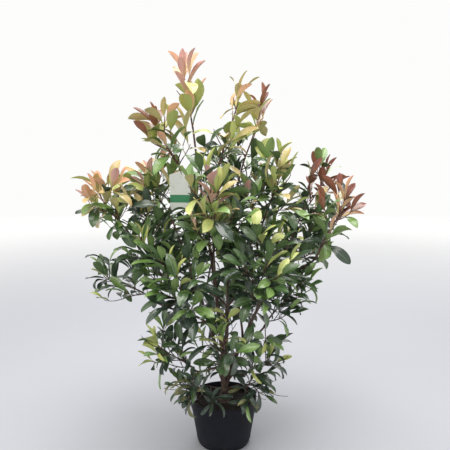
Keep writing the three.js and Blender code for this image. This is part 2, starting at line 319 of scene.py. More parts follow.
def tube(places: Array, radii: Array, sides: int, slot: int = 0) -> Shape:
    """A round tube along a row of points, closed by a point at each end.

    Args:
        places: the points of the middle line.
        radii: a radius for each point, or one for each side at each point.
        sides: how many sides the tube has.
        slot: the material slot of its faces.

    Returns:
        The closed tube.
    """
    count = len(places)
    ways = np.gradient(places, axis=0)
    ways /= np.linalg.norm(ways, axis=1)[:, None]
    side = unit(np.cross(ways[0], [0.31, 0.95, 0.07]))
    turns = np.arange(sides) * 2 * math.pi / sides
    rings = np.empty((count, sides, 3))
    wide = np.broadcast_to(radii if radii.ndim == 2 else radii[:, None], (count, sides))
    for i, way in enumerate(ways):
        side = unit(side - way * np.dot(side, way))
        other = np.cross(way, side)
        spokes = np.outer(np.cos(turns), side) + np.outer(np.sin(turns), other)
        rings[i] = places[i] + spokes * wide[i][:, None]
    ends = [
        places[0] - ways[0] * wide[0].mean() * 0.4,
        places[-1] + ways[-1] * wide[-1].mean() * 0.8,
    ]
    vertices = np.concatenate([rings.reshape(-1, 3), ends])
    foot, tip = count * sides, count * sides + 1
    faces: list[Face] = []
    places_on: list[Chart] = []
    reach = np.concatenate([[0], np.cumsum(np.linalg.norm(np.diff(places, axis=0), axis=1))])
    reach = reach / reach[-1]
    for k in range(sides):
        after = (k + 1) % sides
        left, right = k / sides, (k + 1) / sides
        middle = (left + right) / 2
        for i in range(count - 1):
            a, b = i * sides, (i + 1) * sides
            faces.append((a + k, a + after, b + after, b + k))
            low, high = reach[i], reach[i + 1]
            places_on.append([(low, left), (low, right), (high, right), (high, left)])
        last = (count - 1) * sides
        faces.append((after, k, foot))
        places_on.append([(0.01, right), (0.01, left), (0.0, middle)])
        faces.append((last + k, last + after, tip))
        places_on.append([(0.99, left), (0.99, right), (1.0, middle)])
    return shape_from(vertices, faces, places_on, [slot] * len(faces))


# ---------- Shaders ----------


def light_of(code: str) -> tuple[float, ...]:
    """A colour's linear light, from its six-digit code."""
    shares = [int(code[i : i + 2], 16) / 255 for i in (0, 2, 4)]
    return tuple(c / 12.92 if c <= 0.04045 else ((c + 0.055) / 1.055) ** 2.4 for c in shares)


@dataclass(frozen=True)
class Value:
    """A number that changes over a surface, so that sums of such numbers read as plain sums."""

    sheet: "NodeSheet"
    socket: NodeSocket

    def __add__(self, other: "Value | float") -> "Value":
        """The sum."""
        return self.sheet.maths("ADD", self, other)

    def __sub__(self, other: "Value | float") -> "Value":
        """The difference."""
        return self.sheet.maths("SUBTRACT", self, other)

    def __rsub__(self, other: float) -> "Value":
        """The difference from a plain number."""
        return self.sheet.maths("SUBTRACT", other, self)

    def __mul__(self, other: "Value | float") -> "Value":
        """The product."""
        return self.sheet.maths("MULTIPLY", self, other)

    def __abs__(self) -> "Value":
        """The size without its sign."""
        return self.sheet.maths("ABSOLUTE", self, 0.0)

    __radd__ = __add__
    __rmul__ = __mul__


Input = Value | NodeSocket | float | str | tuple[float, ...]


class NodeSheet:
    """The nodes of one material, which end in one Principled shader."""

    def __init__(self, name: str) -> None:
        """Makes the material with its shader.

        Args:
            name: the material's name.
        """
        self.material = bpy.data.materials.new(name)
        self.material.use_nodes = True
        self.tree = self.material.node_tree
        self.tree.nodes.clear()
        self.shader = self.node("ShaderNodeBsdfPrincipled")
        self.node("ShaderNodeOutputMaterial", {}, {"Surface": self.shader.outputs[0]})

    def node(
        self, kind: str, settings: dict[str, object] | None = None, inputs: dict | None = None
    ) -> Node:
        """Makes one node.

        Args:
            kind: the node's type.
            settings: its own settings, set before its sockets.
            inputs: a value or a link for each named or numbered socket.

        Returns:
            The node.
        """
        made = self.tree.nodes.new(kind)
        for setting, choice in (settings or {}).items():
            setattr(made, setting, choice)
        for key, given in (inputs or {}).items():
            self.feed(made.inputs[key], given)
        return made

    def feed(self, socket: NodeSocket, given: Input) -> None:
        """Links a socket, or sets its own value.

        Args:
            socket: the socket to feed.
            given: a value, another node's output, a number, a colour's code or a tuple of numbers.
        """
        if isinstance(given, Value):
            self.tree.links.new(given.socket, socket)
        elif isinstance(given, NodeSocket):
            self.tree.links.new(given, socket)
        elif isinstance(given, str):
            socket.default_value = (*light_of(given), 1.0)
        else:
            socket.default_value = given

    def maths(self, operation: str, first: Input, second: Input) -> Value:
        """The result of one sum on numbers."""
        made = self.node("ShaderNodeMath", {"operation": operation}, {0: first, 1: second})
        return Value(self, made.outputs[0])

    def step(self, value: Value, low: float, high: float) -> Value:
        """A soft step, which goes down where low is the greater.

        Args:
            value: what it follows.
            low: where it is 0.
            high: where it is 1.

        Returns:
            The step.
        """
        made = self.node(
            "ShaderNodeMapRange",
            {"interpolation_type": "SMOOTHSTEP"},
            {"Value": value, "From Min": min(low, high), "From Max": max(low, high)},
        )
        rise = Value(self, made.outputs[0])
        return rise if low < high else 1 - rise

    def blend(self, share: Input, first: Input, second: Input, mode: str = "MIX") -> NodeSocket:
        """Mixes two colours.

        Args:
            share: how much of the second shows.
            first: the first colour.
            second: the second colour.
            mode: the way of mixing.

        Returns:
            The mixed colour's socket.
        """
        settings = {"data_type": "RGBA", "blend_type": mode}
        made = self.node("ShaderNodeMix", settings, {0: share, 6: first, 7: second})
        return made.outputs[2]

    def coordinates(self, stretch: Point = (1.0, 1.0, 1.0)) -> NodeSocket:
        """The piece's own coordinates in metres.

        Args:
            stretch: how much they are multiplied along each axis.

        Returns:
            Their socket.
        """
        place = self.node("ShaderNodeTexCoord").outputs["Object"]
        if stretch == (1.0, 1.0, 1.0):
            return place
        return self.node("ShaderNodeMapping", {}, {"Vector": place, "Scale": stretch}).outputs[0]

    def heights(self) -> Value:
        """The height over the ground, in metres."""
        split = self.node("ShaderNodeSeparateXYZ", {}, {0: self.coordinates()})
        return Value(self, split.outputs[2])

    def grain(self, scale: float, detail: float = 3.0, stretch: Point = (1.0, 1.0, 1.0)) -> Value:
        """Soft noise from 0 to 1, with so many lumps a metre, finer layers and a squeeze on each axis."""
        inputs = {"Vector": self.coordinates(stretch), "Scale": scale, "Detail": detail}
        return Value(self, self.node("ShaderNodeTexNoise", {}, inputs).outputs[0])

    def specks(self, scale: float, stretch: Point = (1.0, 1.0, 1.0)) -> Value:
        """The distance to the nearest of many scattered points, in cells."""
        inputs = {"Vector": self.coordinates(stretch), "Scale": scale}
        return Value(self, self.node("ShaderNodeTexVoronoi", {}, inputs).outputs["Distance"])

    def relief(self, height: Value, depth: float) -> NodeSocket:
        """The normal bumped by heights from 0 to 1, of which 1 stands for the depth in metres."""
        inputs = {"Strength": 1.0, "Distance": depth, "Height": height}
        return self.node("ShaderNodeBump", {}, inputs).outputs[0]

    def finish(
        self,
        colour: Input,
        roughness: Input,
        normal: NodeSocket | None = None,
        **constants: float,
    ) -> Material:
        """Feeds the shader.

        Args:
            colour: the base colour or its code.
            roughness: the roughness.
            normal: the bumped normal.
            constants: plain values for the shader's other sockets, with _ for a space.

        Returns:
            The finished material.
        """
        self.feed(self.shader.inputs["Base Color"], colour)
        self.feed(self.shader.inputs["Roughness"], roughness)
        if normal is not None:
            self.feed(self.shader.inputs["Normal"], normal)
        for key, value in constants.items():
            self.shader.inputs[key.replace("_", " ")].default_value = value
        return self.material


@dataclass(frozen=True)
class LeafFinish:
    """The two faces and the stalk of leaves of one tint.

    Attributes:
        name: the tint's name.
        foot: the upper face near the stalk.
        tip: the upper face near the tip.
        margin: the upper face along its edge.
        rib: the midrib and veins.
        under: the lower face.
        stalk: the leaf stalk.
        gloss: the roughness of the upper face.
        coat: how much of a wax coat the upper face has.
    """

    name: str
    foot: str
    tip: str
    margin: str
    rib: str
    under: str
    stalk: str
    gloss: float
    coat: float = 0.25

    UPPER_ROW = 0.25
    UNDER_ROW = 0.75
    STALK_ROW = 0.5
    HALF_ROW = 0.22
    VEINS = 9.0
    VEIN_SLANT = 1.7

    def lines(self, sheet: NodeSheet, row: float) -> tuple[Value, Value, Value, Value]:
        """Where the midrib, the veins, the margin and the length lie on one face of the leaf.

        Args:
            sheet: the material's nodes.
            row: the middle of that face's row on the map.

        Returns:
            The share of the length and the masks of the midrib, the veins and the margin.
        """
        chart = sheet.node("ShaderNodeUVMap", {"uv_map": LEAF_MAP})
        split = sheet.node("ShaderNodeSeparateXYZ", {}, {0: chart.outputs[0]})
        along = Value(sheet, split.outputs[0])
        across = abs(Value(sheet, split.outputs[1]) - row) * (1 / self.HALF_ROW)
        rib = sheet.step(across, 0.09, 0.02)
        phase = along * self.VEINS - across * self.VEIN_SLANT
        saw = abs(sheet.maths("FRACT", phase, 0.0) - 0.5) * 2
        veins = sheet.step(saw, 0.72, 0.98) * sheet.step(across, 0.98, 0.7)
        return along, rib, veins, sheet.step(across, 0.45, 1.0)

    def upper(self) -> Material:
        """The glossy upper face.

        Returns:
            The finished material.
        """
        sheet = NodeSheet(f"leaf_{self.name}_upper")
        along, rib, veins, margin = self.lines(sheet, self.UPPER_ROW)
        mottle = sheet.grain(55, 2)
        ground = sheet.blend(sheet.step(along, 0.1, 0.95), self.foot, self.tip)
        shade = sheet.blend(sheet.step(mottle, 0.3, 0.75) * 0.35, ground, self.foot, "MULTIPLY")
        edged = sheet.blend(margin * 0.45, shade, self.margin)
        tinted = sheet.blend(0.75 + mottle * 0.2, ground, edged)
        veined = sheet.blend(veins * 0.22 + rib * 0.62, tinted, self.rib)
        height = 0.6 - rib * 0.4 - veins * 0.22 + sheet.grain(400, 1) * 0.1
        roughness = self.gloss + veins * 0.06 + mottle * 0.1
        normal = sheet.relief(height, 0.5 * MM)
        return sheet.finish(veined, roughness, normal, IOR=1.5, Coat_Weight=self.coat, Coat_Roughness=0.16)

    def lower(self) -> Material:
        """The paler, duller lower face with its raised midrib.

        Returns:
            The finished material.
        """
        sheet = NodeSheet(f"leaf_{self.name}_under")
        along, rib, veins, _ = self.lines(sheet, self.UNDER_ROW)
        mottle = sheet.grain(70, 2)
        ground = sheet.blend(sheet.step(along, 0.0, 0.6), self.foot, self.under)
        pale = sheet.blend(mottle * 0.25, ground, self.tip)
        veined = sheet.blend(veins * 0.25 + rib * 0.5, pale, self.rib)
        height = rib * 0.7 + veins * 0.3
        return sheet.finish(veined, 0.56 + mottle * 0.1, sheet.relief(height, 0.5 * MM), IOR=1.4)

    def stem(self) -> Material:
        """The leaf stalk.

        Returns:
            The finished material.
        """
        sheet = NodeSheet(f"leaf_{self.name}_stalk")
        mottle = sheet.grain(300, 2)
        colour = sheet.blend(mottle * 0.5, self.stalk, self.rib)
        return sheet.finish(colour, 0.45 + mottle * 0.1, IOR=1.45)

    def materials(self) -> list[Material]:
        """The materials in the order of a leaf's slots."""
        return [self.upper(), self.lower(), self.stem()]


class Tint(Enum):
    """The tints of the leaves, from the youngest to the oldest."""

    COPPER = LeafFinish("copper", "D2BE88", "D49C7A", "B2746E", "EACCAC", "E0AE8E", "A8624C", 0.28)
    ROSE = LeafFinish("rose", "CFB48C", "C28E86", "A26C74", "E6CABA", "D4A69E", "A05A54", 0.28)
    BRONZE = LeafFinish("bronze", "705036", "7A3E32", "5C2A2A", "B4806C", "9C6652", "703C32", 0.24, 0.5)
    OLIVE = LeafFinish("olive", "B2B06C", "C4AC78", "AA7E66", "D6CC9A", "BEB682", "8E523E", 0.26, 0.3)
    LIME = LeafFinish("lime", "B0BC66", "C0C67A", "B4A06C", "CCD294", "B4BE74", "9E6648", 0.28)
    FRESH = LeafFinish("fresh", "648642", "74924E", "507238", "A2B47A", "80985C", "8A6E48", 0.25, 0.4)
    MEADOW = LeafFinish("meadow", "3A562C", "445F36", "2D4422", "7C9066", "5C744A", "6E5A3E", 0.25, 0.5)
    DEEP = LeafFinish("deep", "263828", "2C402E", "1B2B20", "60735A", "495D46", "54442F", 0.24, 0.5)
    DRY = LeafFinish("dry", "5E6038", "84845A", "4A4A30", "A4A47A", "8A8A64", "5E4E38", 0.42, 0.1)


@dataclass(frozen=True)
class PotPlastic:
    """Dark recycled plastic, moulded matt, with pale dust low down and fine scuffs."""

    ground: str = "11121A"
    worn: str = "191B25"
    dust: str = "3C3833"

    def material(self) -> Material:
        """The pot's material.

        Returns:
            The finished material.
        """
        sheet = NodeSheet("pot_plastic")
        cloud = sheet.grain(14, 4)
        scuff = sheet.step(sheet.grain(60, 5, (1.0, 1.0, 9.0)), 0.56, 0.72)
        low = sheet.step(sheet.heights(), 60 * MM, 5 * MM)
        dusty = sheet.step(sheet.grain(45, 6), 0.5, 0.8) * (0.12 + low * 0.4)
        wear = sheet.step(cloud, 0.35, 0.75) * 0.5 + scuff * 0.3
        plain = sheet.blend(wear, self.ground, self.worn)
        colour = sheet.blend(dusty, plain, self.dust)
        height = sheet.grain(900, 2) * 0.5 + scuff * 0.2 + cloud * 0.3
        roughness = 0.46 + cloud * 0.16 + dusty * 0.3
        return sheet.finish(colour, roughness, sheet.relief(height, 0.25 * MM), Specular_IOR_Level=0.2)


@dataclass(frozen=True)
class PottingSoil:
    """Moist peat and composted bark."""

    dark: str = "110D0A"
    brown: str = "281F18"
    fibre: str = "4C3C2E"

    def material(self) -> Material:
        """The material of the soil.

        Returns:
            The finished material.
        """
        sheet = NodeSheet("potting_soil")
        lumps = sheet.grain(140, 6)
        fibres = sheet.step(sheet.grain(330, 4, (1.0, 0.3, 1.0)), 0.6, 0.74)
        ground = sheet.blend(sheet.step(lumps, 0.35, 0.7), self.dark, self.brown)
        colour = sheet.blend(fibres * 0.5, ground, self.fibre)
        return sheet.finish(colour, 0.86 + lumps * 0.12, sheet.relief(lumps + fibres * 0.3, 2 * MM))


@dataclass(frozen=True)
class ChipBark:
    """Chips of composted bark on the soil."""

    dark: str = "17100C"
    pale: str = "463527"

    def material(self) -> Material:
        """The chips' material.

        Returns:
            The finished material.
        """
        sheet = NodeSheet("bark_chips")
        grain = sheet.grain(90, 4)
        fine = sheet.grain(700, 3, (1.0, 1.0, 0.3))
        colour = sheet.blend(sheet.step(grain, 0.35, 0.68), self.dark, self.pale)
        return sheet.finish(colour, 0.8 + fine * 0.15, sheet.relief(fine, 0.8 * MM))


@dataclass(frozen=True)
class BarkFinish:
    """The bark of the trunk and boughs: grey-brown, furrowed, with pale corky pores."""

    name: str = "bark"
    dark: str = "2B1C1A"
    brown: str = "5B4239"
    grey: str = "83756A"
    pores: str = "A38C78"
    coarse: float = 1.0

    def material(self) -> Material:
        """The bark's material.

        Returns:
            The finished material.
        """
        sheet = NodeSheet(self.name)
        streaks = sheet.grain(150 * self.coarse, 5, (1.0, 1.0, 0.18))
        clouds = sheet.grain(22, 3)
        pores = sheet.step(sheet.specks(190 * self.coarse, (1.0, 1.0, 1.8)), 0.2, 0.08)
        wood = sheet.blend(sheet.step(streaks, 0.32, 0.66), self.dark, self.brown)
        greyed = sheet.blend(sheet.step(clouds, 0.42, 0.7) * 0.55, wood, self.grey)
        colour = sheet.blend(pores * 0.55, greyed, self.pores)
        height = streaks * 0.7 + pores * 0.35
        return sheet.finish(colour, 0.7 + streaks * 0.2, sheet.relief(height, 0.7 * MM))


@dataclass(frozen=True)
class ShootFinish:
    """The smooth skin of young twigs."""

    name: str
    shade: str
    sunny: str
    gloss: float
    pores: str = "B59A80"

    def material(self) -> Material:
        """The twigs' material.

        Returns:
            The finished material.
        """
        sheet = NodeSheet(self.name)
        clouds = sheet.grain(60, 3)
        pores = sheet.step(sheet.specks(420, (1.0, 1.0, 1.6)), 0.16, 0.06)
        skin = sheet.blend(sheet.step(clouds, 0.35, 0.7), self.shade, self.sunny)
        colour = sheet.blend(pores * 0.4, skin, self.pores)
        height = sheet.grain(500, 2, (1.0, 1.0, 0.4)) * 0.5 + pores * 0.3
        return sheet.finish(colour, self.gloss + clouds * 0.15, sheet.relief(height, 0.2 * MM))


@dataclass(frozen=True)
class CardFinish:
    """Coated card, a little soiled by handling."""

    name: str
    face: str
    soiled: str

    def material(self) -> Material:
        """The card's material.

        Returns:
            The finished material.
        """
        sheet = NodeSheet(self.name)
        smudge = sheet.step(sheet.grain(38, 4), 0.5, 0.8)
        fibre = sheet.grain(1500, 1)
        colour = sheet.blend(smudge * 0.45, self.face, self.soiled)
        return sheet.finish(colour, 0.36 + smudge * 0.2, sheet.relief(fibre, 0.05 * MM))


@dataclass(frozen=True)
class FloorFinish:
    """A plain pale studio floor, grey near the plant and painted whiter far from it, as though brighter lit
    there.
    """

    pale: str = "9FA0A6"
    cloudy: str = "95979E"
    # painted light: the white of the floor far from the plant, as though brighter lit there
    white: str = "FCFCFC"
    painted_light_fades: tuple[float, float] = (1.6, 7.6)  # how far from the plant the painted light starts to whiten the floor, and where it is white

    def material(self) -> Material:
        """The floor's material.

        Returns:
            The finished material.
        """
        sheet = NodeSheet("studio_floor")
        cloud = sheet.grain(2, 2)
        length = sheet.node("ShaderNodeVectorMath", {"operation": "LENGTH"}, {0: sheet.coordinates()})
        away = Value(sheet, length.outputs["Value"])
        near = sheet.blend(cloud * 0.15, self.pale, self.cloudy)
        # painted light: the floor is painted whiter with distance from the plant, as though brighter lit far
        # away
        colour = sheet.blend(sheet.step(away, *self.painted_light_fades), near, self.white)
        return sheet.finish(colour, 0.6 + cloud * 0.1)


# ---------- Modelling by hand ----------


def start_piece(name: str, add: Callable[..., object], **sizes: object) -> Object:
    """Adds one primitive and names it.

    Args:
        name: the piece's name.
        add: the operator that adds the primitive.
        sizes: the operator's own settings.

    Returns:
        The new object.
    """
    bpy.ops.object.select_all(action="DESELECT")
    add(**sizes)
    piece = bpy.context.active_object
    piece.name = name
    piece.data.name = name
    bpy.ops.object.transform_apply(location=True, rotation=True, scale=True)
    return piece


def select(piece: Object, kind: str, wanted: Callable[[object], bool]) -> None:
    """Selects vertices, edges or faces of the piece in edit mode by their place.

    Args:
        piece: the piece, which is in edit mode.
        kind: VERT, EDGE or FACE.
        wanted: says of each whether it is wanted.
    """
    bpy.ops.mesh.select_all(action="DESELECT")
    bpy.ops.mesh.select_mode(type=kind)
    cage = bmesh.from_edit_mesh(piece.data)
    for part in {"VERT": cage.verts, "EDGE": cage.edges, "FACE": cage.faces}[kind]:
        part.select_set(bool(wanted(part)))
    cage.select_flush_mode()
    bmesh.update_edit_mesh(piece.data)


def take_up(piece: Object) -> None:
    """Makes a piece the active one and the only one selected.

    Args:
        piece: the piece.
    """
    bpy.ops.object.select_all(action="DESELECT")
    piece.select_set(True)
    bpy.context.view_layer.objects.active = piece


def apply_modifier(piece: Object, kind: str, **settings: object) -> None:
    """Adds one modifier and applies it at once.

    Args:
        piece: the piece.
        kind: the modifier's type.
        settings: the modifier's settings.
    """
    modifier = piece.modifiers.new(kind.lower(), kind)
    for setting, value in settings.items():
        setattr(modifier, setting, value)
    take_up(piece)
    bpy.ops.object.modifier_apply(modifier=modifier.name)


def shade_by_angle(piece: Object, degrees: float) -> None:
    """Shades the piece smooth, apart from edges that turn more than an angle."""
    take_up(piece)
    bpy.ops.object.shade_smooth_by_angle(angle=math.radians(degrees))


def dress(piece: Object, slot: str, nodes: list[str], *materials: Material) -> None:
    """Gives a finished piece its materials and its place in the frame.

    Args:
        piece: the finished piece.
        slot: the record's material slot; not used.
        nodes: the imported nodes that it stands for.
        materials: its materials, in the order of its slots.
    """
    for material in materials:
        piece.data.materials.append(material)
    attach(piece, "root")
    if nodes:
        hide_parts(*nodes)
    triangles = sum(len(face.vertices) - 2 for face in piece.data.polygons)
    LOG.info("%s: %d triangles, stands for %d nodes", piece.name, triangles, len(nodes))


@dataclass
class Pot:
    """The round nursery pot: tapered wall, stepped lip, drainage slots round the foot."""

    height: float = 180 * MM
    rim_radius: float = 127 * MM
    base_radius: float = 101 * MM
    wall: float = 3 * MM
    floor: float = 9 * MM
    lip_height: float = 38 * MM
    lip_step: float = 3 * MM
    foot_round: float = 9 * MM
    foot_steps: int = 4
    sides: int = 128
    slots: int = 8
    slot_width: float = 16 * MM
    slot_height: float = 7 * MM
    slot_depth: float = 8 * MM
    slot_bevel: float = 2 * MM
    ribs: tuple[float, ...] = (0.16,)  # shares of the wall's height that carry a moulded ring
    rib_corners: tuple[tuple[float, float], ...] = ((-2.0, 0.0), (-1.2, 0.5), (1.2, 0.5), (2.0, 0.0))
    finish: PotPlastic = field(default_factory=PotPlastic)

    def wall_radius(self, height: float) -> float:
        """The outer radius of the wall at a height: it stands upright behind the lip."""
        share = min(height / (self.height - self.lip_height), 1.0)
        return mix(self.base_radius, self.rim_radius - self.lip_step, share)

    def profile(self) -> list[tuple[float, float]]:
        """The outline from the foot, up outside, over the lip and down inside.

        Returns:
            The radius and the height of each corner.
        """
        lip_foot = self.height - self.lip_height
        wall, lip = self.wall_radius(lip_foot), self.rim_radius - self.lip_step * 0.3
        outline = []
        for i in range(self.foot_steps + 1):
            turn = math.radians(90 * i / self.foot_steps)
            inset = self.foot_round * (1 - math.sin(turn))
            outline.append((self.base_radius - inset, self.foot_round * (1 - math.cos(turn))))
        for share in self.ribs:
            height = lip_foot * share
            for rise, proud in self.rib_corners:
                level = height + rise * MM
                outline.append((self.wall_radius(level) + proud * MM, level))
        outline += [
            (wall - 0.2 * MM, lip_foot - 1.5 * MM),
            (wall, lip_foot),
            (lip - 0.6 * MM, lip_foot),
            (lip, lip_foot + 0.8 * MM),
            (self.rim_radius - 0.4 * MM, self.height - 4 * MM),
            (self.rim_radius, self.height - 2.4 * MM),
            (self.rim_radius - 0.4 * MM, self.height - 0.7 * MM),
            (self.rim_radius - 1.6 * MM, self.height),
            (self.rim_radius - self.lip_step, self.height - 0.2 * MM),
            (wall - self.wall + 0.8 * MM, self.height - 1.4 * MM),
            (wall - self.wall, self.height - 3 * MM),
            (wall - self.wall, lip_foot),
            (self.wall_radius(self.floor) - self.wall, self.floor),
        ]
        return outline

    def build(self) -> None:
        """Raises the wall ring by ring from the foot's disc, then cuts the slots."""
        outline = self.profile()
        disc = {"vertices": self.sides, "radius": outline[0][0], "fill_type": "NGON"}
        pot = start_piece("pot_shell", bpy.ops.mesh.primitive_circle_add, **disc)
        bpy.ops.object.mode_set(mode="EDIT")
        bpy.ops.mesh.select_all(action="SELECT")
        for (radius, level), (wider, higher) in zip(outline, outline[1:]):
            bpy.ops.mesh.extrude_region_move(TRANSFORM_OT_translate={"value": (0, 0, higher - level)})
            spread = wider / radius
            bpy.ops.transform.resize(value=(spread, spread, 1), center_override=(0, 0, higher))
        bpy.ops.mesh.select_all(action="SELECT")
        bpy.ops.mesh.remove_doubles(threshold=0.01 * MM)
        bpy.ops.mesh.normals_make_consistent(inside=False)
        bpy.ops.object.mode_set(mode="OBJECT")
        self.cut_slots(pot)
        shade_by_angle(pot, 35)
        dress(pot, "pot", ["pot"], self.finish.material())

    def cut_slots(self, pot: Object) -> None:
        """Cuts the drainage slots out of the foot's edge.

        Args:
            pot: the whole shell.
        """
        block = (self.slot_depth * 2, self.slot_width, self.slot_height * 2)
        for i in range(self.slots):
            turn = (i + 0.5) * 2 * math.pi / self.slots
            cutter = start_piece(f"drain_{i}", bpy.ops.mesh.primitive_cube_add, size=1, scale=block)
            apply_modifier(cutter, "BEVEL", width=self.slot_bevel, segments=3)
            spin = np.array([[math.cos(turn), -math.sin(turn)], [math.sin(turn), math.cos(turn)]])
            for vertex in cutter.data.vertices:
                x, y = spin @ np.array([vertex.co.x + self.base_radius, vertex.co.y])
                vertex.co = (x, y, vertex.co.z)
            apply_modifier(pot, "BOOLEAN", operation="DIFFERENCE", solver="EXACT", object=cutter)
            bpy.data.objects.remove(cutter)


@dataclass
class Soil:
    """The potting soil: a lumpy top that rises a little to the stem, strewn with bark chips."""

    pot: Pot
    top: float = 158 * MM
    crown: float = 4 * MM
    gap: float = 0.3 * MM
    rings: int = 26
    lump: float = 2.2 * MM
    chips: int = 520
    chip: tuple[float, float] = (3 * MM, 9 * MM)
    seed: int = 71

    def radius(self) -> float:
        """The radius of the soil's top, clear of the pot's wall."""
        return self.pot.wall_radius(self.top - self.crown) - self.pot.wall - 2 * self.gap

    def level(self, x: float, y: float) -> float:
        """The height of the soil's top.

        Args:
            x: the place across.
            y: the place front to back.

        Returns:
            The height there.
        """
        share = min(math.hypot(x, y) / self.radius(), 1.0)
        lumps = noise.fractal(Vector((x, y, 0.3)) * 60, 0.9, 2.0, 4)
        return self.top - self.crown * share**1.5 + lumps * self.lump * (1 - smooth(0.9, 1, share))

    def build(self) -> None:
        """Models the soil from a drum whose top is inset ring by ring, then lumped."""
        foot = self.pot.floor + self.gap
        side = self.top - self.crown
        soil = start_piece(
            "soil_bed",
            bpy.ops.mesh.primitive_cylinder_add,
            vertices=96,
            radius=self.radius(),
            depth=side - foot,
            location=(0, 0, (side + foot) / 2),
        )
        narrow = (self.pot.wall_radius(foot) - self.pot.wall - 2 * self.gap) / self.radius()
        bpy.ops.object.mode_set(mode="EDIT")
        select(soil, "VERT", lambda v: v.co.z < (side + foot) / 2)
        bpy.ops.transform.resize(value=(narrow, narrow, 1), center_override=(0, 0, foot))
        select(soil, "FACE", lambda f: f.normal.z > 0.9)
        step = self.radius() / (self.rings + 1)
        for _ in range(self.rings):
            bpy.ops.mesh.inset(thickness=step)
        bpy.ops.mesh.poke()
        bpy.ops.object.mode_set(mode="OBJECT")
        for vertex in soil.data.vertices:
            x, y, z = vertex.co
            if z > side - 0.1 * MM and math.hypot(x, y) < self.radius() * 0.995:
                vertex.co.z = self.level(x, y)
        shade_by_angle(soil, 40)
        dress(soil, "soil", ["soil"], PottingSoil().material())
        self.strew()

    def strew(self) -> None:
        """Strews the bark chips, joined to one piece."""
        dice = np.random.default_rng(self.seed)
        ball = bmesh.new()
        bmesh.ops.create_icosphere(ball, subdivisions=1, radius=1)
        plain = np.array([v.co for v in ball.verts])
        faces = [tuple(v.index for v in f.verts) for f in ball.faces]
        ball.free()
        chips = []
        for _ in range(self.chips):
            out = math.sqrt(dice.uniform(0.03, 1)) * (self.radius() - self.chip[1])
            turn = dice.uniform(0, 2 * math.pi)
            x, y = out * math.cos(turn), out * math.sin(turn)
            size = dice.uniform(*self.chip) / 2
            squeeze = np.array([1, dice.uniform(0.4, 0.8), dice.uniform(0.2, 0.45)]) * size
            rough = plain * dice.uniform(0.75, 1.15, (len(plain), 1)) * squeeze
            axis = unit(dice.normal(size=3) * [1, 1, 4])
            spin = dice.uniform(0, 2 * math.pi)
            tilted = np.array([turned(v, axis, spin) for v in rough])
            place = np.array([x, y, self.level(x, y) + squeeze[2] * 0.4])
            chips.append(shape_from(tilted + place, faces))
        piece = piece_from("soil_chips", joined(chips), 20)
        dress(piece, "soil", [], ChipBark().material())


# ---------- What grows where ----------


Deal = tuple[tuple[Tint, float], ...]


def deal(**shares: float) -> Deal:
    """The tints that are dealt, each with its share of the leaves."""
    return tuple((Tint[name], share) for name, share in shares.items())


@dataclass(frozen=True)
class Growth:
    """How a shoot's leaves are spaced, sized and tinted.

    Attributes:
        leaf: the length of a grown leaf with its stalk, in millimetres.
        gap: the length of twig for each leaf, in millimetres.
        crowd: how the leaves draw together toward the tip: 1 spaces them evenly, less crowds them.
        deals: from the youngest growth to the oldest, the least youth and the tints that are dealt.
        leans: the angle of the lowest and of the highest leaves from their twig, in radians.
        narrow: the share of leaves that are narrow and hang.
        finer: how many finer twigs a long twig carries.
        bare: how many thin leafless twigs the stem has besides.
    """

    leaf: float
    gap: float
    crowd: float
    deals: tuple[tuple[float, Deal], ...]
    leans: tuple[float, float] = (1.2, 0.42)
    narrow: float = 0.0
    finer: int = 0
    bare: int = 0

    def tint(self, youth: float, pick: float) -> Tint:
        """The tint of one leaf.

        Args:
            youth: from 0 for old wood to 1 for the very tip.
            pick: the place in the deal, from 0 to 1.

        Returns:
            The tint.
        """
        dealt = next(tints for least, tints in self.deals if youth >= least)
        for tint, share in dealt:
            pick -= share
            if pick < 0:
                return tint
        return dealt[-1][0]


SHADED = deal(DEEP=0.62, MEADOW=0.29, FRESH=0.07, LIME=0.02)
GREENS = deal(MEADOW=0.48, DEEP=0.25, FRESH=0.24, LIME=0.03)
TURNING = deal(LIME=0.34, OLIVE=0.34, FRESH=0.32)
OLD = -9.0  # less than the youth of any leaf


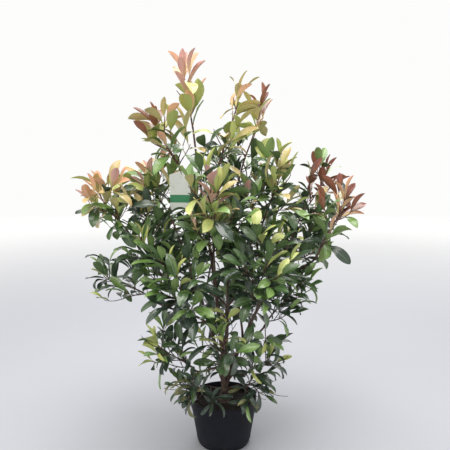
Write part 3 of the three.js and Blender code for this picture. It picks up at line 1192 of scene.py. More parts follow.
class Flush(Enum):
    """How far the young growth of a shoot has turned, from bright flushes to plain green."""

    TOP = Growth(
        leaf=130,
        gap=26,
        crowd=0.42,
        leans=(1.05, 0.42),
        deals=(
            (0.57, deal(COPPER=0.6, ROSE=0.36, BRONZE=0.04)),
            (0.45, deal(LIME=0.7, ROSE=0.3)),
            (OLD, deal(LIME=0.5, OLIVE=0.2, FRESH=0.3)),
        ),
    )
    MIXED = Growth(
        leaf=115,
        gap=29,
        crowd=0.45,
        leans=(1.15, 0.45),
        deals=(
            (0.66, deal(COPPER=0.4, BRONZE=0.16, OLIVE=0.22, LIME=0.22)),
            (0.45, deal(LIME=0.4, OLIVE=0.34, FRESH=0.26)),
            (OLD, deal(FRESH=0.34, MEADOW=0.4, DEEP=0.14, OLIVE=0.12)),
        ),
    )
    RUST = Growth(
        leaf=112,
        gap=22,
        crowd=0.5,
        leans=(1.15, 0.45),
        deals=(
            (0.66, deal(COPPER=0.42, BRONZE=0.38, OLIVE=0.2)),
            (0.45, deal(OLIVE=0.45, LIME=0.3, COPPER=0.25)),
            (OLD, deal(FRESH=0.35, MEADOW=0.4, OLIVE=0.25)),
        ),
    )
    COPPER = Growth(
        leaf=106,
        gap=17,
        finer=2,
        crowd=0.55,
        leans=(1.2, 0.4),
        deals=(
            (0.7, deal(COPPER=0.5, ROSE=0.14, OLIVE=0.3, BRONZE=0.06)),
            (0.5, TURNING),
            (0.3, GREENS),
            (OLD, SHADED),
        ),
    )
    BRONZE = Growth(
        leaf=104,
        gap=24,
        finer=1,
        crowd=0.6,
        leans=(1.2, 0.4),
        deals=(
            (0.62, deal(BRONZE=0.82, COPPER=0.1, OLIVE=0.08)),
            (0.45, deal(OLIVE=0.3, BRONZE=0.35, FRESH=0.35)),
            (0.3, GREENS),
            (OLD, SHADED),
        ),
    )
    LIME = Growth(
        leaf=104,
        gap=18,
        narrow=0.05,
        finer=2,
        crowd=0.66,
        deals=(
            (0.6, deal(LIME=0.4, OLIVE=0.3, FRESH=0.14, ROSE=0.16)),
            (0.45, deal(FRESH=0.55, MEADOW=0.3, OLIVE=0.15)),
            (0.3, GREENS),
            (OLD, SHADED),
        ),
    )
    GREEN = Growth(
        leaf=99,
        gap=16,
        narrow=0.1,
        finer=2,
        crowd=0.62,
        deals=(
            (0.72, deal(FRESH=0.5, MEADOW=0.4, LIME=0.1)),
            (0.4, GREENS),
            (OLD, SHADED),
        ),
    )
    SHADE = Growth(
        leaf=90,
        gap=19,
        narrow=0.2,
        finer=2,
        crowd=0.65,
        deals=(
            (0.8, deal(MEADOW=0.6, FRESH=0.3, LIME=0.1)),
            (0.5, GREENS),
            (OLD, SHADED),
        ),
    )
    CORE = Growth(
        leaf=94,
        gap=13,
        narrow=0.1,
        finer=3,
        crowd=0.7,
        leans=(1.25, 0.45),
        deals=(
            (0.72, deal(FRESH=0.45, MEADOW=0.5, LIME=0.05)),
            (0.5, GREENS),
            (OLD, SHADED),
        ),
    )
    SPARSE = Growth(
        leaf=96,
        gap=24,
        narrow=0.25,
        finer=1,
        crowd=0.5,
        leans=(1.25, 0.45),
        deals=(
            (0.72, deal(FRESH=0.5, MEADOW=0.3, LIME=0.2)),
            (0.5, GREENS),
            (OLD, SHADED),
        ),
        bare=3,
    )
    SKIRT = Growth(
        leaf=86,
        gap=16,
        narrow=0.5,
        finer=1,
        crowd=0.75,
        leans=(1.35, 0.7),
        deals=(
            (0.85, deal(MEADOW=0.5, DRY=0.3, FRESH=0.2)),
            (OLD, deal(DEEP=0.64, DRY=0.22, MEADOW=0.14)),
        ),
        bare=12,
    )


@dataclass(frozen=True)
class Shoot:
    """A limb and the leaves past its end.

    Attributes:
        name: the shoot's name.
        parent: the limb that it leaves.
        at: how far up that limb.
        foot: its radius there, in millimetres.
        neck: where its leaves begin, in millimetres.
        tip: where its stem ends, in millimetres.
        spread: how far its twigs reach, in millimetres.
        twigs: how many twigs its stem has.
        flush: how its young growth is coloured.
        luck: where its row of numbers starts.
    """

    name: str
    parent: str
    at: float
    foot: float
    neck: Point
    tip: Point
    spread: float
    twigs: int
    flush: Flush
    luck: int = 0

    def neck_way(self) -> Array:
        """The way at the neck: toward the tip, a little more upright."""
        return unit(unit(np.array(self.tip) - np.array(self.neck)) + UP * 0.35)


SHOOTS = [
    Shoot("leader", "trunk", 0.8, 8.5, (-108, 5, 1170), (-142, 0, 1390), 50, 4, Flush.TOP, 11),
    Shoot("left_shoulder", "trunk", 0.7, 8, (-185, 70, 820), (-300, 110, 1040), 95, 6, Flush.COPPER, 23),
    Shoot("right_red", "trunk", 0.72, 8, (275, 45, 830), (392, 75, 1040), 85, 5, Flush.BRONZE, 23),
    Shoot("back_high", "trunk", 0.75, 7.5, (25, 140, 820), (45, 265, 1060), 110, 5, Flush.GREEN),
    Shoot("front_high", "trunk", 0.65, 7, (-35, -120, 770), (-42, -235, 980), 115, 6, Flush.LIME, 23),
    Shoot("right_upper", "leader", 0.6, 5.2, (-20, -20, 1050), (55, -30, 1315), 60, 5, Flush.MIXED, 23),
    Shoot("right_tall", "leader", 0.52, 4.4, (60, 60, 1020), (140, 55, 1285), 65, 5, Flush.MIXED, 23),
    Shoot("left_upper", "leader", 0.68, 4.8, (-158, -38, 1055), (-240, -45, 1210), 85, 5, Flush.RUST, 23),
    Shoot("core_left", "leader", 0.42, 4.6, (-60, -55, 630), (-15, -75, 870), 115, 6, Flush.CORE),
    Shoot("right_mid", "right_red", 0.5, 4.6, (130, -45, 820), (205, -50, 1050), 100, 6, Flush.LIME, 23),
    Shoot(
        "right_outer", "right_red", 0.66, 4.6, (340, -85, 760), (420, -105, 945), 75, 5, Flush.BRONZE, 23
    ),
    Shoot("right_flank", "right_red", 0.5, 4.8, (235, 95, 620), (345, 150, 810), 110, 6, Flush.CORE),
    Shoot("core_right", "right_red", 0.3, 4.6, (60, 15, 550), (92, -15, 830), 115, 6, Flush.CORE),
    Shoot("right_lower", "right_red", 0.3, 4.4, (150, -45, 470), (285, -60, 670), 100, 6, Flush.SHADE),
    Shoot("right_low", "right_red", 0.14, 4, (85, -40, 285), (170, -70, 360), 75, 5, Flush.SPARSE),
    Shoot(
        "left_outer", "left_shoulder", 0.66, 4.6, (-315, -50, 780), (-432, -110, 975), 80, 6, Flush.COPPER, 11
    ),
    Shoot(
        "left_flank", "left_shoulder", 0.55, 4.6, (-180, -85, 600), (-275, -140, 800), 100, 6, Flush.CORE
    ),
    Shoot("left_lower", "left_shoulder", 0.4, 4.6, (-290, 40, 560), (-470, 50, 660), 85, 5, Flush.SPARSE),
    Shoot(
        "left_low", "left_shoulder", 0.14, 4.2, (-110, -50, 305), (-250, -75, 425), 85, 5, Flush.SPARSE, 23
    ),
    Shoot(
        "front_left", "front_high", 0.5, 4.4, (-110, -140, 530), (-150, -265, 710), 110, 6, Flush.GREEN, 23
    ),
    Shoot("front_right", "front_high", 0.52, 4.4, (85, -140, 570), (140, -265, 760), 115, 6, Flush.GREEN),
    Shoot("front_low", "front_high", 0.25, 4.2, (5, -115, 350), (0, -240, 490), 110, 6, Flush.SPARSE),
    Shoot("back_left", "back_high", 0.5, 4.6, (-130, 165, 610), (-235, 300, 790), 120, 5, Flush.CORE),
    Shoot("back_right", "back_high", 0.5, 4.6, (140, 165, 610), (250, 290, 790), 120, 5, Flush.LIME),
    Shoot("back_low", "back_high", 0.25, 4.4, (15, 120, 360), (25, 270, 510), 115, 5, Flush.CORE),
    Shoot("skirt_left", "trunk", 0.8, 4.2, (-48, -30, 228), (-130, -85, 260), 95, 6, Flush.SKIRT),
    Shoot("skirt_right", "trunk", 0.8, 4.2, (52, -25, 232), (135, -75, 265), 95, 6, Flush.SKIRT),
    Shoot("skirt_back", "trunk", 0.8, 4.2, (5, 55, 232), (15, 140, 270), 95, 6, Flush.SKIRT),
]


@dataclass(frozen=True)
class Opening:
    """A round place between the masses that the leaves leave open.

    Attributes:
        centre: its middle, in millimetres.
        reach: how far it reaches along each axis, in millimetres.
    """

    centre: Point
    reach: Point

    def holds(self, points: Array) -> bool:
        """Whether any of the points lies in it."""
        away = (points / MM - np.array(self.centre)) / np.array(self.reach)
        return bool((np.linalg.norm(away, axis=1) < 1).any())


OPENINGS = [
    Opening((-450, 0, 782), (78, 300, 42)),
    Opening((-12, 0, 1345), (40, 200, 105)),
    Opening((546, 0, 788), (116, 300, 118)),
    Opening((352, 0, 472), (55, 300, 42)),
    Opening((-62, 0, 1245), (28, 200, 45)),
    Opening((215, 0, 1220), (52, 200, 90)),
    Opening((-228, 0, 1338), (60, 200, 60)),
    Opening((-378, 0, 1220), (45, 200, 60)),
    Opening((-312, 60, 1122), (45, 250, 42)),
    Opening((-142, -205, 973), (34, 165, 56)),
    Opening((272, 0, 1028), (34, 300, 38)),
    Opening((288, 0, 1105), (22, 300, 62)),
    Opening((503, 0, 858), (50, 300, 50)),
    Opening((535, 0, 1085), (45, 300, 60)),
    Opening((-492, 0, 848), (48, 300, 42)),
    Opening((-420, 0, 1075), (30, 300, 36)),
    Opening((-350, 80, 1110), (60, 250, 34)),
]


@dataclass(frozen=True)
class Runner:
    """A listed twig.

    Attributes:
        mass: the shoot whose stem it leaves.
        share: how far up that stem.
        end: where it ends, in millimetres.
        leaves: how many leaves it carries near its end.
        hanging: whether they hang.
        ripeness: from 0 for growth deep inside to 1 for the shoot's young end.
    """

    mass: str
    share: float
    end: Point
    leaves: int
    hanging: bool = False
    ripeness: float = 0.8


RUNNERS = [
    Runner("left_upper", 0.04, (-118, -62, 1135), 4, ripeness=0.2),
    Runner("left_upper", 0.1, (-128, -95, 1175), 4, ripeness=0.5),
    Runner("left_upper", 0.22, (-186, -75, 1178), 4, ripeness=0.5),
    Runner("left_upper", 0.3, (-268, -48, 1165), 4, ripeness=1.0),
    Runner("left_upper", 0.6, (-208, -35, 1232), 4, ripeness=1.0),
    Runner("right_upper", 0.02, (-62, -48, 1122), 5, ripeness=0.15),
    Runner("right_upper", 0.05, (-25, -78, 1088), 5, ripeness=0.1),
    Runner("right_upper", 0.18, (22, -62, 1142), 4, ripeness=0.1),
    Runner("left_lower", 0.06, (-452, 15, 554), 3),
    Runner("right_low", 0.12, (232, -92, 372), 0),
    Runner("left_low", 0.3, (-262, -60, 342), 4),
    Runner("right_lower", 0.03, (150, -125, 440), 5),
    Runner("front_low", 0.3, (-85, -205, 440), 5),
    Runner("skirt_left", 0.02, (-40, -142, 222), 5, True),
    Runner("skirt_left", 0.5, (-126, -128, 232), 4, True),
    Runner("skirt_right", 0.35, (84, -138, 220), 4, True),
]


# ---------- Limbs ----------


@dataclass
class Limb:
    """A woody axis: its curve and its radius at each share of it."""

    curve: Bend
    foot: float
    tip: float
    flare: float = 0.0

    def radius(self, share: Array | float) -> Array | float:
        """The radius at a share of the length."""
        return mix(self.foot, self.tip, share) + self.flare * (1 - share) ** 3


@dataclass
class Wood:
    """The short trunk and its boughs, with the bark's relief."""

    soil_top: float = 158 * MM
    buried: float = 12 * MM
    trunk_height: float = 52 * MM
    trunk_lean: tuple[float, float] = (4 * MM, -3 * MM)
    trunk_radius: float = 15 * MM
    trunk_flare: float = 14 * MM
    neck_radius: float = 3.6 * MM
    ring: float = 5 * MM
    collar: float = 0.28  # how much thicker a bough is where it leaves its parent
    collar_reach: float = 14 * MM
    node_gap: float = 27 * MM
    node_width: float = 2.2 * MM
    stout: float = 6 * MM  # a bough thicker than this at its foot has more sides
    lobes: tuple[tuple[int, float], ...] = ((2, 0.05), (3, 0.04), (5, 0.035), (7, 0.03), (9, 0.025))
    roots: tuple[tuple[int, float, float], ...] = ((5, 0.16, 0.7), (3, 0.09, 2.1))  # number, size, start
    dome: float = 0.35  # the height of the trunk's rounded end, as a share of its radius
    seed: int = 5
    limbs: dict[str, Limb] = field(default_factory=dict)

    def grow(self) -> None:
        """Works out the trunk's and boughs' curves."""
        foot = np.array([0, 0, self.soil_top - self.buried])
        fork = np.array([*self.trunk_lean, self.soil_top + self.trunk_height])
        way = unit(fork - foot)
        self.limbs["trunk"] = Limb(
            Bend(foot, way, fork, way), self.trunk_radius, self.trunk_radius, self.trunk_flare
        )
        for shoot in SHOOTS:
            parent = self.limbs[shoot.parent].curve
            start, along = parent.point(shoot.at), parent.way(shoot.at)
            neck = np.array(shoot.neck) * MM
            curve = Bend(start, unit(unit(neck - start) + along), neck, shoot.neck_way())
            self.limbs[shoot.name] = Limb(curve, shoot.foot * MM, self.neck_radius)

    def relief(self, limb: Limb, dice: np.random.Generator, sides: int, shares: Array) -> Array:
        """The radii over the bark: long furrows, ridges and the rings that old leaves left.

        Args:
            limb: the limb.
            dice: the source of its own pattern.
            sides: the sides of the mesh.
            shares: where its rings lie.

        Returns:
            A radius for each side at each ring.
        """
        turns = np.arange(sides) * 2 * math.pi / sides
        plain = np.asarray(limb.radius(shares))[:, None] * np.ones((1, sides))
        length = limb.curve.length
        rough = np.zeros_like(plain)
        for lobes, size in self.lobes:
            drift = dice.uniform(-22, 22) * length
            start = dice.uniform(0, 2 * math.pi)
            ridge = np.sin(lobes * turns[None, :] + drift * shares[:, None] + start)
            swell = 0.6 + 0.4 * np.sin(dice.uniform(25, 60) * length * shares + start)[:, None]
            rough += size * (1 - 1.6 * np.abs(ridge)) * swell
        for place in np.arange(0.4 * self.node_gap, length, self.node_gap):
            middle = (place + dice.uniform(-5, 5) * MM) / length
            facing = dice.uniform(0, 2 * math.pi)
            ring = np.exp(-(((shares - middle) * length / self.node_width) ** 2))[:, None]
            scar = 0.5 + 0.5 * np.cos(turns[None, :] - facing)
            rough += ring * (0.05 + 0.14 * scar)
        collar = self.collar * np.exp(-shares * length / self.collar_reach)[:, None]
        return plain * (1 + rough + (0 if limb.flare else collar))

    def trunk_shape(self, sides: int = 40) -> Shape:
        """The trunk, from its buried foot with five root swellings to its rounded fork.

        Args:
            sides: the sides of the mesh.

        Returns:
            The closed trunk.
        """
        limb = self.limbs["trunk"]
        dice = np.random.default_rng(self.seed)
        shares = np.linspace(0, 1, 40)
        shares = shares[shares > (self.buried - 3 * MM) / (self.buried + self.trunk_height)]
        radii = self.relief(limb, dice, sides, shares)
        turns = np.arange(sides) * 2 * math.pi / sides
        lobes = sum(proud * np.sin(count * turns + start) for count, proud, start in self.roots)
        radii *= 1 + lobes[None, :] * ((1 - shares[:, None]) ** 1.5)
        places = limb.curve.points(shares)
        for i in range(1, 6):
            turn = math.radians(15 * i)
            rise = UP * self.trunk_radius * self.dome * (math.sin(turn) - math.sin(turn - 0.26))
            places = np.vstack([places, places[-1] + rise])
            radii = np.vstack([radii, radii[len(shares) - 1] * math.cos(turn)])
        return tube(places, radii, sides)

    def build(self) -> None:
        """Makes the piece that stands for the trunk and all the boughs."""
        shapes = [self.trunk_shape()]
        for index, (name, limb) in enumerate(self.limbs.items()):
            if name == "trunk":
                continue
            dice = np.random.default_rng(self.seed + index)
            sides = 14 if limb.foot > self.stout else 11
            shares = np.linspace(0, 1, int(limb.curve.length / self.ring) + 2)
            shapes.append(tube(limb.curve.points(shares), self.relief(limb, dice, sides, shares), sides))
        names = ["trunk"] + [f"bough_{shoot.name}" for shoot in SHOOTS]
        dress(piece_from("limbs", joined(shapes), 50), "bark", names, BarkFinish().material())


# ---------- Label ----------


@dataclass
class Card:
    """The plain hanging label and the room that it takes."""

    limb_name: str = "left_upper"
    width: float = 86 * MM
    height: float = 128 * MM
    thick: float = 1 * MM
    corner: float = 5 * MM
    bow: float = 3.2 * MM
    turn: float = -0.2
    tilt: float = 0.08
    wire: float = 1 * MM
    gap: float = 0.3 * MM
    tab_width: float = 6 * MM
    tab_height: float = 14 * MM
    step_length: float = 115 * MM
    up_last_stretch: float = 0.85  # the share of its limb's last straight stretch that lies below its ring
    band: tuple[float, float] = (0.2, 0.42)  # the shares of the height between which it is coloured

    def hang(self, wood: Wood) -> tuple[Array, float, Array]:
        """Where the card hangs.

        Args:
            wood: the limbs.

        Returns:
            The ring's middle, its radius and its way.
        """
        limb = wood.limbs[self.limb_name]
        last_bend = 1 - 1 / max(3, round(limb.curve.length / self.step_length))
        bottom, top = limb.curve.point(last_bend), limb.curve.point(1.0)
        share = mix(last_bend, 1, self.up_last_stretch)
        ring = float(limb.radius(share)) + 2 * self.gap + self.wire
        return bottom + (top - bottom) * self.up_last_stretch, ring, unit(top - bottom)

    def placed(self, points: Array, wood: Wood) -> Array:
        """Points of the upright card at the origin, tilted, turned and hung.

        Args:
            points: one row for each point.
            wood: the limbs.

        Returns:
            The points in their place.
        """
        centre, ring, _ = self.hang(wood)
        tip, spin = math.cos(self.tilt), math.sin(self.tilt)
        tilted = points @ np.array([[1, 0, 0], [0, tip, -spin], [0, spin, tip]]).T
        tip, spin = math.cos(self.turn), math.sin(self.turn)
        swung = tilted @ np.array([[tip, -spin, 0], [spin, tip, 0], [0, 0, 1]]).T
        return swung + np.array([0, -ring, 0]) + centre

    def room(self, wood: Wood) -> tuple[Array, list[Face]]:
        """A box round the card, for leaves to keep clear of.

        Args:
            wood: the limbs.

        Returns:
            Its corners and its faces.
        """
        top, foot = -self.tab_height * 0.9, -self.tab_height * 0.9 - self.height
        half, deep = self.width / 2 + 2 * MM, self.thick + 2.5 * MM
        corners = [(x, y, z) for x in (-half, half) for y in (-deep, deep) for z in (foot, top)]
        faces = [(0, 1, 3, 2), (4, 6, 7, 5), (0, 4, 5, 1), (2, 3, 7, 6), (0, 2, 6, 4), (1, 5, 7, 3)]
        return self.placed(np.array(corners), wood), faces

    def build(self, wood: Wood) -> None:
        """Models the card from a thin block with rounded corners and bends it a little.

        Args:
            wood: the limbs that it hangs on.
        """
        middle = -self.tab_height * 0.9 - self.height / 2
        sizes = {"scale": (self.width, self.thick * 0.6, self.height), "location": (0, 0, middle)}
        card = start_piece("label_card", bpy.ops.mesh.primitive_cube_add, size=1, **sizes)
        bpy.ops.object.mode_set(mode="EDIT")
        select(card, "EDGE", lambda e: abs(e.verts[0].co.y - e.verts[1].co.y) > self.thick * 0.3)
        bpy.ops.mesh.bevel(offset=self.corner, segments=6)
        select(card, "FACE", lambda f: f.normal.z > 0.95)
        bpy.ops.mesh.extrude_region_move(TRANSFORM_OT_translate={"value": (0, 0, self.tab_height * 0.86)})
        share = self.tab_width / (self.width - 2 * self.corner)
        bpy.ops.transform.resize(value=(share, 1, 1), center_override=(0, 0, 0))
        low, high = (middle + self.height * (share - 0.5) for share in self.band)
        cuts = [(low, "z"), (high, "z")] + [(self.width * (i / 12 - 0.5), "x") for i in range(1, 12)]
        for place, axis in cuts:
            bpy.ops.mesh.select_all(action="SELECT")
            spot = (0, 0, place) if axis == "z" else (place, 0, 0)
            normal = (0, 0, 1) if axis == "z" else (1, 0, 0)
            bpy.ops.mesh.bisect(plane_co=spot, plane_no=normal)
        bpy.ops.object.mode_set(mode="OBJECT")
        apply_modifier(card, "BEVEL", width=0.15 * MM, segments=1, limit_method="ANGLE")
        for face in card.data.polygons:
            if low < face.center.z < high and abs(face.normal.y) > 0.9:
                face.material_index = 1
        bent = np.array([vertex.co for vertex in card.data.vertices])
        bulge = 1 - (bent[:, 0] / (self.width / 2)) ** 2
        bent[:, 1] += self.bow * bulge * (bent[:, 2] < 0) - self.bow / 2
        for vertex, place in zip(card.data.vertices, self.placed(bent, wood)):
            vertex.co = place
        shade_by_angle(card, 30)
        plain = CardFinish("label_white", "EDF0EA", "C9C8BB").material()
        green = CardFinish("label_green", "3E8F62", "2F6E4C").material()
        dress(card, "label", ["label"], plain, green)
        self.tie(wood)

    def tie(self, wood: Wood) -> None:
        """Makes the thin loop that holds the card to its limb.

        Args:
            wood: the limbs.
        """
        centre, ring, way = self.hang(wood)
        radii = {"major_radius": ring, "minor_radius": self.wire * 0.8}
        segments = {"major_segments": 40, "minor_segments": 10}
        loop = start_piece("label_tie", bpy.ops.mesh.primitive_torus_add, **radii, **segments)
        spin = Vector((0, 0, 1)).rotation_difference(Vector(way))
        for vertex in loop.data.vertices:
            vertex.co = spin @ vertex.co + Vector(centre)
        shade_by_angle(loop, 60)
        dress(loop, "label", [], CardFinish("label_loop", "DDE3DC", "B9BDB4").material())


# ---------- Leaves ----------


@dataclass(frozen=True)
class Habit:
    """How leaves of one age are shaped, as shares of their length or in radians.

    Attributes:
        width: the widest place's width.
        fold: how far the halves fold up along the midrib.
        rise: how far the stalk lifts the blade.
        droop: how far the blade bends down on its way to the tip.
        wave: how much the margins rise and fall.
        twist: the most that the blade twists.
    """

    width: float
    fold: float
    rise: float
    droop: float
    wave: float
    twist: float

    STALK = 0.13
    STATIONS = (0.0, 0.08, 0.2, 0.34, 0.48, 0.62, 0.75, 0.86, 0.94)
    ACROSS = (-1.0, -0.5, 0.0, 0.5, 1.0)
    THICK = 0.008
    LEAST = 0.011  # half the width that is left at both ends
    CHANNEL = 0.012  # how deep the midrib lies
    CLOSING = 0.35  # how much less the halves are folded at the tip
    WAVES = 9.0
    AHEAD = 1.9  # how far the waves of one margin run ahead of the other's
    STEPS = 60

    def outline(self, share: float) -> float:
        """Half the blade's width: widest past the middle, with a sharp point.

        Args:
            share: the share of its length.

        Returns:
            The half width there.
        """
        low, high = 1.12, 0.86
        peak = low / (low + high)
        top = peak**low * (1 - peak) ** high
        return max(self.width / 2 * share**low * (1 - share) ** high / top, self.LEAST)

    def net(self) -> tuple[list[Face], list[Chart], list[int]]:
        """The faces of a blade, upper and lower by turns, and the one at its foot.

        Returns:
            The vertices of each face, the map place of each corner and the slot of each face.
        """
        faces, places, slots = [], [], []
        width = len(self.ACROSS)
        per = 2 * width - 2
        pole = per * len(self.STATIONS)
        for i, share in enumerate(self.STATIONS):
            for k in range(width - 1):
                for slot, row in enumerate((LeafFinish.UPPER_ROW, LeafFinish.UNDER_ROW)):
                    left, right = (row + across * LeafFinish.HALF_ROW for across in self.ACROSS[k : k + 2])
                    inner = slot * (width - 1)  # the lower row shares its two ends with the upper one
                    a = i * per + k + (inner if k > 0 else 0)
                    b = i * per + k + 1 + (inner if k + 2 < width else 0)
                    near, far = [(a, share, left), (b, share, right)], [(pole, 1.0, (left + right) / 2)]
                    if i + 1 < len(self.STATIONS):
                        after = self.STATIONS[i + 1]
                        far = [(a + per, after, left), (b + per, after, right)]
                    ring = near + far[::-1] if slot else near[:1] + far + near[1:]
                    faces.append(tuple(vertex for vertex, _, _ in ring))
                    places.append([(along, across) for _, along, across in ring])
                    slots.append(slot)
        faces.append((*range(width), *range(per - 1, width - 1, -1)))
        places.append([(0.01 * (k % 2), LeafFinish.STALK_ROW + 0.001 * k) for k in range(per)])
        slots.append(2)
        return faces, places, slots

    def mould(self, dice: Dice) -> Shape:
        """A leaf of length one along +X, its upper side up.

        Args:
            dice: the source of its small differences.

        Returns:
            The closed leaf with its stalk.
        """
        rise = self.rise * dice.between(0.6, 1.4)
        droop = self.droop * dice.between(0.55, 1.4)
        fold = self.fold * dice.between(0.7, 1.25)
        twist = self.twist * dice.between(-1, 1)
        sway = dice.between(-0.1, 0.1)
        beat = dice.between(0, 2 * math.pi)
        steps = np.linspace(0, 1, self.STEPS + 1)
        slopes = rise - droop * np.clip((steps - self.STALK) / (1 - self.STALK), 0, 1) ** 1.3
        line = np.stack([np.cos(slopes), np.sin(slopes)], axis=1) / self.STEPS
        line = np.concatenate([[[0, 0]], np.cumsum(line[:-1], axis=0)])

        def middle(place: float) -> Array:
            """The midrib's point at a share of the whole leaf."""
            x, z = (np.interp(place, steps, line[:, axis]) for axis in (0, 1))
            return np.array([x, sway * place**2, z])

        vertices: list[Array] = []
        for share in self.STATIONS:
            place = self.STALK + (1 - self.STALK) * share
            spot, slope, half = middle(place), np.interp(place, steps, slopes), self.outline(share)
            above = np.array([-math.sin(slope), 0, math.cos(slope)])
            tilt, curl = twist * share, fold * (1 - self.CLOSING * share)
            side = np.array([0, math.cos(tilt), 0]) + above * math.sin(tilt)
            above = unit(np.cross(np.cross(side, above), side))
            rows = []
            for across in self.ACROSS:
                away = abs(across)
                lift = away * half * math.sin(curl) + self.CHANNEL * (away > 0)
                phase = beat + share * self.WAVES + (across > 0) * self.AHEAD
                lift += self.wave * away * math.sin(phase) * (share > 0.05)
                rows.append(spot + side * across * half * math.cos(curl) + above * lift)
            vertices += rows
            vertices += [row - above * self.THICK for row in rows[1:-1]]
        vertices.append(middle(1.0))
        blade = shape_from(vertices, *self.net())
        foot, high = (np.interp(np.array([0, 0.5, 1.12]) * self.STALK, steps, line[:, k]) for k in (0, 1))
        points = np.stack([foot, np.zeros(3), high - 0.004], axis=1)
        stalk = tube(points, np.array([0.0135, 0.009, 0.011]), 4, 2)
        squeezed = stalk.places * [1, 0.03] + [0, LeafFinish.STALK_ROW - 0.015]
        stalk = Shape(stalk.vertices, stalk.corners, stalk.sizes, squeezed, stalk.slots)
        return joined([blade, stalk])

    def coarse(self) -> tuple[Array, list[Face]]:
        """A plain leaf of four faces, to feel for what is in the way.

        Returns:
            Its vertices and its faces.
        """
        half = self.width * 0.42
        wide = [(along, side, lift) for along, lift in ((0.4, 0.02), (0.72, 0)) for side in (-half, half)]
        faces = [(0, 1, 2), (1, 3, 2), (2, 3, 4), (3, 5, 4)]
        return np.array([(0.14, 0, 0.01), *wide, (0.97, 0, -0.03)]), faces


YOUNG = Habit(width=0.31, fold=0.6, rise=0.16, droop=0.5, wave=0.008, twist=0.4)
GROWN = Habit(width=0.34, fold=0.28, rise=0.12, droop=0.6, wave=0.012, twist=0.35)
AGED = Habit(width=0.35, fold=0.2, rise=0.05, droop=0.85, wave=0.015, twist=0.4)
HANGING = Habit(width=0.21, fold=0.55, rise=0.25, droop=1.35, wave=0.012, twist=0.6)
HABITS = (YOUNG, GROWN, AGED, HANGING)


class Thicket:
    """What has grown so far, so that a new twig or leaf can keep clear of it."""

    def __init__(self) -> None:
        """Starts with nothing grown."""
        self.room = 12000
        self.low = np.full((self.room, 3), np.inf)
        self.high = np.full((self.room, 3), -np.inf)
        self.trees: list[BVHTree] = []
        self.owners: list[int] = []

    def add(self, tree: BVHTree, points: Array, owner: int) -> None:
        """Keeps one thing that has grown.

        Args:
            tree: its faces.
            points: its vertices.
            owner: the axis that it belongs to.
        """
        at = len(self.trees)
        self.low[at], self.high[at] = points.min(0), points.max(0)
        self.trees.append(tree)
        self.owners.append(owner)

    def meets(self, tree: BVHTree, points: Array, besides: int) -> bool:
        """Whether a thing would touch what has grown.

        Args:
            tree: its faces.
            points: its vertices.
            besides: the axis that it may touch.

        Returns:
            True if it touches something else.
        """
        count = len(self.trees)
        near = (self.low[:count] < points.max(0)).all(1) & (self.high[:count] > points.min(0)).all(1)
        return any(
            self.owners[i] != besides and self.trees[i].overlap(tree) for i in np.flatnonzero(near)
        )


@dataclass
class Axis:
    """A stem or twig that carries leaves.

    Attributes:
        limb: its curve and radii.
        order: 0 for a mass's stem, 1 for its twigs, 2 for the finer ones.
        ripeness: from 0 low and inside to 1 at the shoot's young end.
        mark: its own number in the thicket.
        pick: its place in the deal of tints, which most of its leaves share.
        leaves: how many leaves it carries, or -1 for as many as fit.
        hanging: whether they all hang.
    """

    limb: Limb
    order: int
    ripeness: float
    mark: int
    pick: float = 0.0
    leaves: int = -1
    hanging: bool = False


